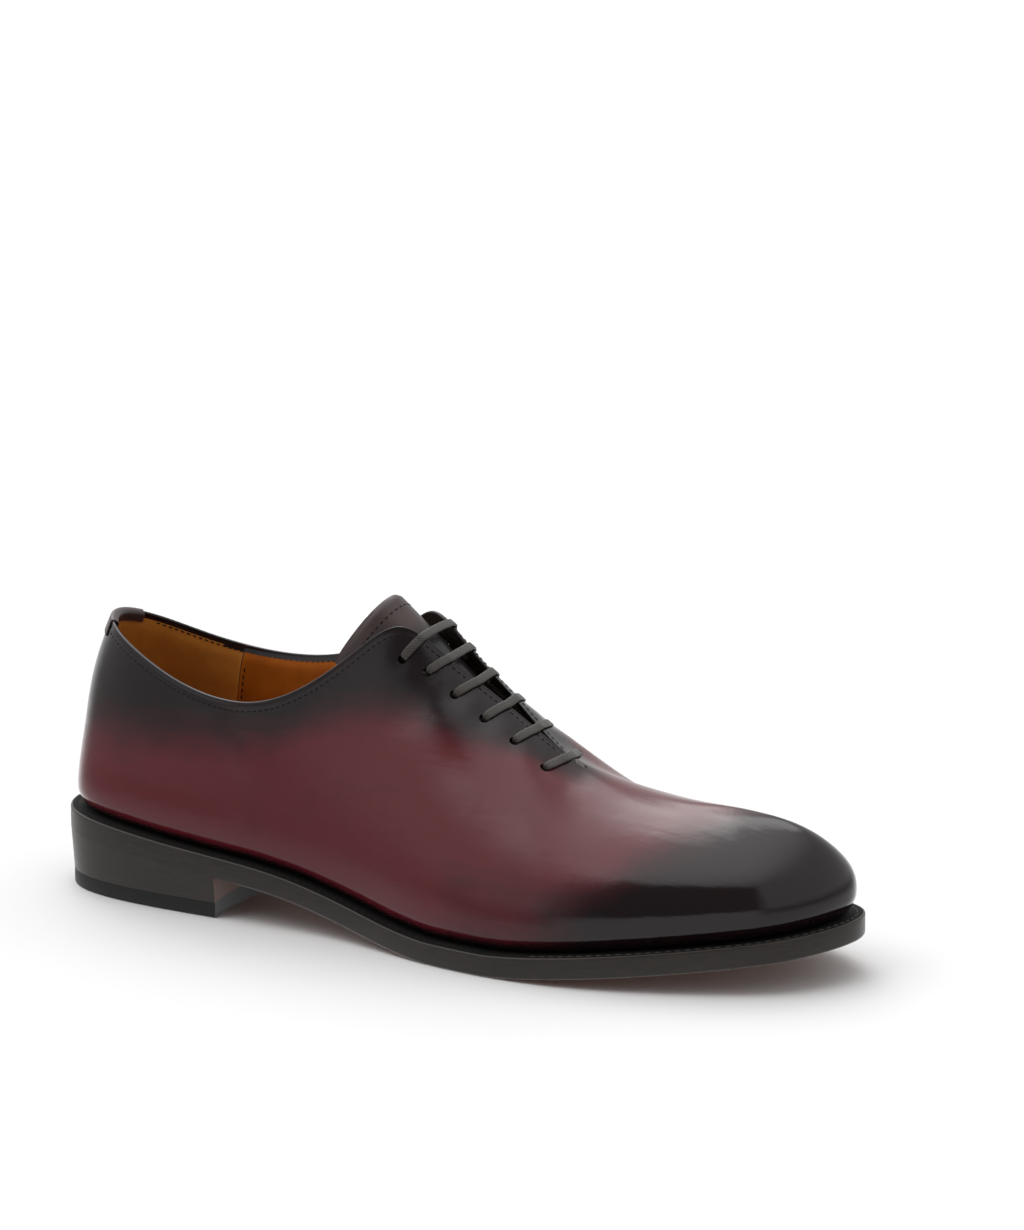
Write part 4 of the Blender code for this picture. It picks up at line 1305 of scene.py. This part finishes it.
# %% Route of the lace
INSIDE_DROP = UPPER_WALL + 0.9 * MM
LACE_LIFT = 0.25 * MM + LACE_THICK / 2
NEAR_HOLE = 0.2
HOLE_PULL = 0.5 * MM
HOLE_DIP = 0.9 * MM
HOLE_RISE, HOLE_LEAN = 0.3 * MM, 0.35 * MM
FOLDED, OPENING, OPEN = 0.7, 0.85, 1.0  # shares of the lace's width
BAR_SHARES = (0.25, 0.4, 0.6, 0.8, 1.0)
UNDER_SHARES = (0.3, 0.5, 0.7)
UNDER_START = 0.1
UNDER_WIDTH = (0.85, 0.2)
BARS = (1, 3, 5, 4, 2, 0)  # from one end of the lace to the other


def half_bar(bar, side):
    """Stops from inside a hole to the slit, each with the direction and share of the lace's width."""
    hole, out = face_at(bar, side, 0.0)
    towards = unit(face_at(bar, side, NEAR_HOLE)[0] - hole)
    pulled = hole + towards * HOLE_PULL
    stops = [(pulled - out * INSIDE_DROP, FOLDED), (pulled - out * HOLE_DIP, FOLDED),
             (pulled + out * HOLE_RISE + towards * HOLE_LEAN, OPENING)]
    for share in BAR_SHARES[:len(BAR_SHARES) - (bar == LOWEST_BAR)]:
        point, normal = face_at(bar, side, share)
        stops.append((point + normal * LACE_LIFT, OPEN))
    return [(stop, INSTEP_SLOPE * squeeze) for stop, squeeze in stops]


def bar_stops(bar, first_side):
    """Stops of a bar from one hole to the other."""
    return half_bar(bar, first_side) + half_bar(bar, -first_side)[::-1]


def under_stops(from_bar, to_bar, side):
    """Stops of the hidden run under a facing, where the lace lies with its width across."""
    here, out = face_at(from_bar, side, UNDER_START)
    there, out_there = face_at(to_bar, side, UNDER_START)
    deep = (out + out_there) / 2 * INSIDE_DROP
    across = np.array([0.0, UNDER_WIDTH[0] * side, UNDER_WIDTH[1]])
    return [(here + (there - here) * share - deep, across) for share in UNDER_SHARES]


route = bar_stops(BARS[0], MEDIAL)
start_side = LATERAL
for bar, next_bar in zip(BARS, BARS[1:]):
    route += under_stops(bar, next_bar, start_side) + bar_stops(next_bar, start_side)
    start_side = -start_side
print(len(route), "stops along the lace")

# %% [markdown]
# ## Lace
# A curve object with a profile could follow the route, but it would twist in the tight turns. Here a
# flattened ring of points is set at each step, with its width steered by the route: along the instep on the
# bars, across it in the hidden runs, and squeezed in the holes.

# %% Lace
LACE_STEPS = 5
LACE_RING = 14
SIDE_POWER, FLAT_POWER = 0.4, 0.5  # below 1 the ring is squarer than an ellipse
stop_points = np.array([stop for stop, _ in route])
stop_widths = np.array([width for _, width in route])
knots = np.concatenate([[0], np.cumsum(np.sqrt(np.linalg.norm(np.diff(stop_points, axis=0), axis=1)))])
pieces_of_run = [np.linspace(a, b, LACE_STEPS, endpoint=False) for a, b in zip(knots, knots[1:])]
fine_knots = np.concatenate(pieces_of_run)
path = line_spline(np.column_stack([knots, stop_points]), fine_knots)
width = np.column_stack([np.interp(fine_knots, knots, stop_widths[:, k]) for k in range(3)])
along = unit(np.gradient(path, axis=0))
squeeze = np.linalg.norm(width, axis=1)
width = unit(width - along * np.sum(width * along, axis=1)[:, None])
thick = np.cross(along, width)
angles = np.linspace(0, 2 * np.pi, LACE_RING, endpoint=False)
round_u = np.sign(np.cos(angles)) * np.abs(np.cos(angles)) ** SIDE_POWER
round_v = np.sign(np.sin(angles)) * np.abs(np.sin(angles)) ** FLAT_POWER
runs = list(path[:, None] + (width * squeeze[:, None])[:, None] * (LACE_WIDTH / 2 * round_u)[:, None]
            + thick[:, None] * (LACE_THICK / 2 * round_v)[:, None])
lace = add_piece("lace", np.concatenate(runs), capped_faces(run_numbers(runs)), [waxed_cotton],
                 [f"lace_bar_{k + 1}" for k in range(HOLE_PAIRS)], None, SHARP_SOFT)
run_length = np.concatenate([[0], np.cumsum(np.linalg.norm(np.diff(path, axis=0), axis=1))])
weave_data = np.zeros((len(path), len(angles), 3), dtype=np.float32)
weave_data[:, :, 0] = run_length[:, None]
weave_data[:, :, 1] = LACE_WIDTH / 2 * round_u
lace.data.attributes.new("weave", "FLOAT_VECTOR", "POINT").data.foreach_set("vector", weave_data.ravel())
print("lace length", round(run_length[-1], 3), "m")

# %% [markdown]
# ## Thread
# Edges and lining are sewn with thin black linen thread, waxed and dull, that shows as short dark dashes.
# A bump pattern could fake them, but real threads catch the light and cast a shadow. Each stitch is a
# small tube that dives into the leather at both ends.

# %% Thread
LINEN_PLY = 0.5 * MM
STITCH_DIVE = np.array([-1.7, -0.6, -0.3, -0.25, -0.3, -0.6, -1.7])  # height in radii along a stitch
STITCH_FAT = np.array([0.7, 0.95, 1.0, 1.0, 1.0, 0.95, 0.7])  # share of the radius along a stitch
STITCH_RING = 8
linen_thread, shader = new_finish("waxed_linen_thread", {"Roughness": 0.8, "IOR": 1.3})
two_tone(linen_thread, shader.inputs["Base Color"], ((0.0, "#070606"), (1.0, "#141010")), LINEN_PLY)


def stitch_row(name, path, normals, stitch, finish=linen_thread):
    """Row of stitches, given as (pitch, share of it that shows, radius), along a path on a surface."""
    pitch, share, radius = stitch
    reach = np.concatenate([[0], np.cumsum(np.linalg.norm(np.diff(path, axis=0), axis=1))])
    starts = np.arange(0, reach[-1] - pitch, pitch)
    spots = starts[:, None] + pitch * share * np.linspace(0, 1, len(STITCH_DIVE))[None]
    centre = np.stack([np.interp(spots, reach, path[:, k]) for k in range(3)], axis=-1)
    up = unit(np.stack([np.interp(spots, reach, normals[:, k]) for k in range(3)], axis=-1))
    centre = centre + up * (radius * STITCH_DIVE)[None, :, None]
    along = unit(np.gradient(centre, axis=1))
    across = unit(np.cross(along, up))
    high = np.cross(across, along)
    angles = np.linspace(0, 2 * np.pi, STITCH_RING, endpoint=False)
    fat = radius * STITCH_FAT[None, :, None, None]
    ring = (centre[:, :, None] + across[:, :, None] * fat * np.cos(angles)[None, None, :, None]
            + high[:, :, None] * fat * np.sin(angles)[None, None, :, None])
    numbers = run_numbers(ring.reshape(-1, STITCH_RING, 3))
    faces = []
    for first in range(0, len(numbers), len(STITCH_DIVE)):
        faces += capped_faces(numbers[first:first + len(STITCH_DIVE)])
    return add_piece(name, ring.reshape(-1, 3), faces, [finish])


# %% [markdown]
# ## Stitches of the collar and the facings
# One row of stitches follows the collar and the slit, 3 mm from the edge, and shows inside along the collar
# as well. It could be placed by eye. The distance is measured down the leather at every station instead, as
# the foot of the sewing machine does.

# %% Stitches of the collar and the facings
EDGE_DISTANCE = 3.0 * MM
INSIDE_DISTANCE = 2.3 * MM
INSIDE_DEPTH = 1.6 * MM
EDGE_STITCH = (2.3 * MM, 0.72, 0.26 * MM)
INSIDE_STITCH = (2.3 * MM, 0.72, 0.28 * MM)
EDGE_END = 9.9
COLLAR_END = 6
EDGE_SAMPLES = 500


def height_under(at, distance):
    """Height at which the upper's surface lies a distance below its top line."""
    tries = np.linspace(0.80, 1.0, 61)
    lines = np.stack([upper_points(at, np.full(len(at), h)) for h in tries], axis=1)
    fall = np.cumsum(np.linalg.norm(np.diff(lines, axis=1), axis=2)[:, ::-1], axis=1)
    return np.array([np.interp(distance, f, tries[::-1][1:]) for f in fall])


lateral_run = ("lateral", TAB_STATIONS, EDGE_END)
medial_run = ("medial", LOOP - EDGE_END, LOOP - TAB_STATIONS)
for name, first, last in (lateral_run, medial_run):
    at = np.linspace(first, last, EDGE_SAMPLES)
    height = height_under(at, EDGE_DISTANCE)
    stitch_row(f"edge_stitches_{name}", upper_points(at, height), upper_normals(at, height), EDGE_STITCH)
    at = at[np.minimum(at, LOOP - at) < COLLAR_END]
    height = height_under(at, INSIDE_DISTANCE)
    out = upper_normals(at, height)
    stitch_row(f"inside_stitches_{name}", upper_points(at, height) - out * INSIDE_DEPTH, -out, INSIDE_STITCH)

# %% [markdown]
# ## Stitches of the tongue and the lining seam
# The tongue has one row of stitches below its top edge, and the heel's lining is sewn to the front lining on
# both sides. Drawn curves could carry them. They reuse the tongue's own section and the face of the upper,
# so they lie on the leather wherever those go.

# %% Stitches of the tongue and the lining seam
TONGUE_STITCH = (2.4 * MM, 0.7, 0.26 * MM)
TONGUE_STITCH_UP = 75.5
TONGUE_STITCH_TURN = 0.97
LINING_STITCH = (2.6 * MM, 0.72, 0.3 * MM)
LINING_STITCH_SHIFT = 0.08
LINING_HEIGHTS = (0.30, 0.965)
SEAM_SAMPLES = 200
turn = np.linspace(-TONGUE_STITCH_TURN, TONGUE_STITCH_TURN, SEAM_SAMPLES)
row = tongue_section(TONGUE_STITCH_UP, 0.0, turn)
row_out = row - tongue_section(TONGUE_STITCH_UP, TONGUE_THICK, turn)
stitch_row("tongue_stitches", row, unit(row_out), TONGUE_STITCH)
seam_at = LINING_SEAM + LINING_STITCH_SHIFT
height = np.linspace(*LINING_HEIGHTS, SEAM_SAMPLES)
for name, at_seam in (("lateral", seam_at), ("medial", LOOP - seam_at)):
    at = np.full(SEAM_SAMPLES, at_seam)
    out = upper_normals(at, height)
    row = upper_points(at, height) - out * (UPPER_WALL + LAP_RISE)
    stitch_row(f"lining_stitches_{name}", row, -out, LINING_STITCH)

# %% [markdown]
# ## Stitches of the welt
# Large lock stitches hold the sole to the welt and lie in its dip. Round the toe their grey thread shows,
# and along the sides, down in the crevice's shade, the thread is drawn black as painted shade. They could be
# one row, but three rows let each part have its own thread.

# %% Stitches of the welt
WELT_PLY = 0.6 * MM
WELT_STITCH = (3.3 * MM, 0.8, 0.45 * MM)
WELT_STITCH_INSET = 2.7 * MM
WELT_STITCH_DEPTH = 0.1 * MM
WELT_STITCH_START, WELT_TOE_START = 3.6, 9.0
WELT_SAMPLES = 600
welt_thread, shader = new_finish("grey_welt_thread", {"Roughness": 0.6, "IOR": 1.45})
two_tone(welt_thread, shader.inputs["Base Color"], ((0.0, "#1c1916"), (1.0, "#3b362f")), WELT_PLY)
# Painted shade: the side rows use the black thread, because the crevice shades them.
WELT_RUNS = (
    ("outer", WELT_STITCH_START, WELT_TOE_START, linen_thread),
    ("toe", WELT_TOE_START, LOOP - WELT_TOE_START, welt_thread),
    ("inner", LOOP - WELT_TOE_START, LOOP - WELT_STITCH_START, linen_thread),
)
for name, first, last, finish in WELT_RUNS:
    row = level_loop(np.linspace(first, last, WELT_SAMPLES), WELT_STITCH_INSET, WELT_TOP - WELT_STITCH_DEPTH)
    stitch_row(f"welt_stitches_{name}", row, np.tile([0.0, 0.0, 1.0], (WELT_SAMPLES, 1)), WELT_STITCH,
               finish)

# %% [markdown]
# ## Throat tack
# A few strands of paler thread are sewn across the ridge at the foot of the slit, so that it can't tear
# open. One flat patch would look the same from far off. Each strand is one long stitch that is laid onto the
# rounded ridge, because it follows the leather down both sides.

# %% Throat tack
TACK_START = 5.4 * MM
TACK_PITCH = 0.8 * MM
TACK_STRANDS = 4
TACK_REACH = 2.6 * MM
TACK_RADIUS = 0.5 * MM
TACK_LIFT = 0.3  # radii over the leather
TACK_SAMPLES = 20
TACK_SHARE = 0.98  # of the strand's reach, so that the row holds one stitch
tack_thread, shader = new_finish("pale_tack_thread", {"Roughness": 0.6, "IOR": 1.45})
two_tone(tack_thread, shader.inputs["Base Color"], ((0.0, "#2f2a28"), (1.0, "#6a625d")), WELT_PLY)
stations = np.arange(len(TOP))
for k in range(TACK_STRANDS):
    tack_x = TOP[THROAT_STATION, 0] + TACK_START + k * TACK_PITCH
    at_ridge = np.interp(tack_x, TOP[:, 0], stations)
    low = height_under(np.array([at_ridge]), TACK_REACH)[0]
    height = np.concatenate([np.linspace(low, 1, TACK_SAMPLES), np.linspace(1, low, TACK_SAMPLES)])
    at = np.repeat([at_ridge, LOOP - at_ridge], TACK_SAMPLES)
    placed = [on_leather(point) for point in upper_points(at, height)]
    line = np.array([point + out * TACK_LIFT * TACK_RADIUS for point, out in placed])
    reach = np.linalg.norm(np.diff(line, axis=0), axis=1).sum()
    stitch_row(f"throat_tack_{k + 1}", line, np.array([out for _, out in placed]),
               (reach * TACK_SHARE, 1.0, TACK_RADIUS), tack_thread)

# %% [markdown]
# ## Floor
# The shoe stands on a sheet of white studio paper that runs on past the picture. A curved backdrop could
# rise behind it, but a very wide flat sheet has no line either. It is hidden from mirror reflections,
# because the light painted below the horizon stands for it in the polish.

# %% Floor
PAPER_HALF = 9.0
floor_mesh = bpy.data.meshes.new("floor")
corners = [(a * PAPER_HALF, b * PAPER_HALF, 0) for a, b in ((-1, -1), (1, -1), (1, 1), (-1, 1))]
floor_mesh.from_pydata(corners, [], [(0, 1, 2, 3)])
floor = bpy.data.objects.new("floor", floor_mesh)
bpy.context.scene.collection.objects.link(floor)
floor.visible_glossy = False
floor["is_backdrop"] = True
paper, _ = new_finish("white_studio_paper", {"Base Color": linear("#dddddd"), "Roughness": 0.9,
                                             "Specular IOR Level": 0.1})
floor_mesh.materials.append(paper)
print("paper is", 2 * PAPER_HALF, "m across")

# %% [markdown]
# ## Room light
# Polished leather mirrors the whole studio, so the studio matters more than any single lamp. Area lamps
# could light the shoe. The light is painted on the world sphere instead, because each soft edge in the
# polish is then one number: here the pale walls, the floor's tones below the horizon, a panel above and one
# to the left.

# %% Room light
SIDE_FLOOR, SIDE_WALL = 0.40, 0.90
STEEP_FLOOR = {"From Min": -0.08, "From Max": -0.25, "To Max": 0.5}
HORIZON = {"From Min": -0.06, "From Max": 0.14, "To Max": SIDE_WALL}
BACK_FLOOR = 0.65
world = bpy.data.worlds.new("studio")
bpy.context.scene.world = world
world.use_nodes = True
direction = add_node(world, "ShaderNodeTexCoord").outputs["Generated"]


def toward(azimuth, elevation):
    """Unit direction at an azimuth from +X and an elevation, in degrees."""
    a, e = np.radians(azimuth), np.radians(elevation)
    return (np.cos(e) * np.cos(a), np.cos(e) * np.sin(a), np.sin(e))


def spot(source, centre, inner_angle, outer_angle):
    """1 within the inner angle of a direction, falling to 0 at the outer angle."""
    near = add_node(world, "ShaderNodeVectorMath", {"operation": "DOT_PRODUCT", 1: centre}, {0: source})
    return add_node(world, "ShaderNodeMapRange", {
        "interpolation_type": "SMOOTHSTEP",
        "From Min": np.cos(np.radians(outer_angle)),
        "From Max": np.cos(np.radians(inner_angle)),
    }, {"Value": near.outputs["Value"]}).outputs["Result"]


BACK_FLOOR_SPOT = (toward(122, 0), 30, 56)  # direction, inner and outer half angle
TOP_PANEL = (toward(180, 72), 12, 46)
LEFT_PANEL = (toward(-139, 50), 12, 24)
TOP_LIGHT, LEFT_LIGHT = 1.25, 1.0
flat = add_node(world, "ShaderNodeVectorMath", {"operation": "MULTIPLY", 1: (1.0, 1.0, 0.0)}, {0: direction})
flat = add_node(world, "ShaderNodeVectorMath", {"operation": "NORMALIZE"}, {0: flat.outputs["Vector"]})
heading = flat.outputs["Vector"]
height = add_node(world, "ShaderNodeSeparateXYZ", {}, {"Vector": direction}).outputs["Z"]
steep = add_node(world, "ShaderNodeMapRange", STEEP_FLOOR, {"Value": height})
floor_side = add_node(world, "ShaderNodeMath", {"operation": "ADD", 1: SIDE_FLOOR},
                      {0: steep.outputs["Result"]})
behind = spot(heading, *BACK_FLOOR_SPOT)
floor_side = add_node(world, "ShaderNodeMath", {"operation": "MULTIPLY_ADD", 1: BACK_FLOOR},
                      {0: behind, 2: floor_side.outputs["Value"]})
light = add_node(world, "ShaderNodeMapRange", HORIZON,
                 {"Value": height, "To Min": floor_side.outputs["Value"]}).outputs["Result"]
for panel, added in ((TOP_PANEL, TOP_LIGHT), (LEFT_PANEL, LEFT_LIGHT)):
    light = add_node(world, "ShaderNodeMath", {"operation": "MULTIPLY_ADD", 1: added},
                     {0: spot(direction, *panel), 2: light}).outputs["Value"]
print("room painted with", len(world.node_tree.nodes), "nodes")

# %% [markdown]
# ## Dark front, softbox and small lamp
# In front of the shoe the studio is dark above a bright floor, so its side looks deep and clear. A softbox
# behind it draws the bright line along the ridge and the toe, and a small lamp adds a spot there. A black
# screen and two lamps would do the same with more to adjust. View transform Standard keeps the colours as
# they are named.

# %% Dark front, softbox and small lamp
FRONT_FLOOR, FRONT_WALL = 0.98, 0.20
FRONT_EDGE = {"From Min": -0.03, "From Max": 0.02, "To Min": FRONT_FLOOR, "To Max": FRONT_WALL}
FRONT_GAP = (toward(-74, 0), 23, 35)
OVERHEAD = ((0.0, 0.0, 1.0), 26, 33)
BACK_BOX = (toward(134, 0), 12, 22)
BOX_ELEVATIONS = ((26, 35), (73, 62))  # degrees: where the lower and the upper edge are dark and full
RIDGE_LAMP = (toward(105, 52), 5, 12)
BOX_LIGHT, RIDGE_LIGHT = 3.2, 1.8
front = add_node(world, "ShaderNodeMapRange", FRONT_EDGE, {"Value": height}).outputs["Result"]
gap = spot(heading, *FRONT_GAP)
over_gap = spot(direction, *OVERHEAD)
below = add_node(world, "ShaderNodeMath", {"operation": "SUBTRACT", 0: 1.0}, {1: over_gap})
dark = add_node(world, "ShaderNodeMath", {"operation": "MULTIPLY"}, {0: gap, 1: below.outputs["Value"]})
light = add_node(world, "ShaderNodeMix", {}, {"Factor": dark.outputs["Value"], "A": light, "B": front})
light = light.outputs["Result"]
box = spot(heading, *BACK_BOX)
for low, high in BOX_ELEVATIONS:
    limits = {"From Min": np.sin(np.radians(low)), "From Max": np.sin(np.radians(high))}
    edge = add_node(world, "ShaderNodeMapRange", limits, {"Value": height})
    box = add_node(world, "ShaderNodeMath", {"operation": "MULTIPLY"}, {0: box, 1: edge.outputs["Result"]})
    box = box.outputs["Value"]
for shape, added in ((box, BOX_LIGHT), (spot(direction, *RIDGE_LAMP), RIDGE_LIGHT)):
    light = add_node(world, "ShaderNodeMath", {"operation": "MULTIPLY_ADD", 1: added}, {0: shape, 2: light})
    light = light.outputs["Value"]
world.node_tree.links.new(light, world.node_tree.nodes["Background"].inputs["Color"])
bpy.context.scene.view_settings.view_transform = "Standard"
print("studio painted with", len(world.node_tree.nodes), "nodes")

# %% [markdown]
# ## Size and finish
# The dressed shoe should be as large as the plain solids. It could be measured by hand in the viewport; here
# the dressed shoe's box is printed.

# %% Size and finish
low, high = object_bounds()
print("visual box", [round(v, 4) for v in (*low, *high)])
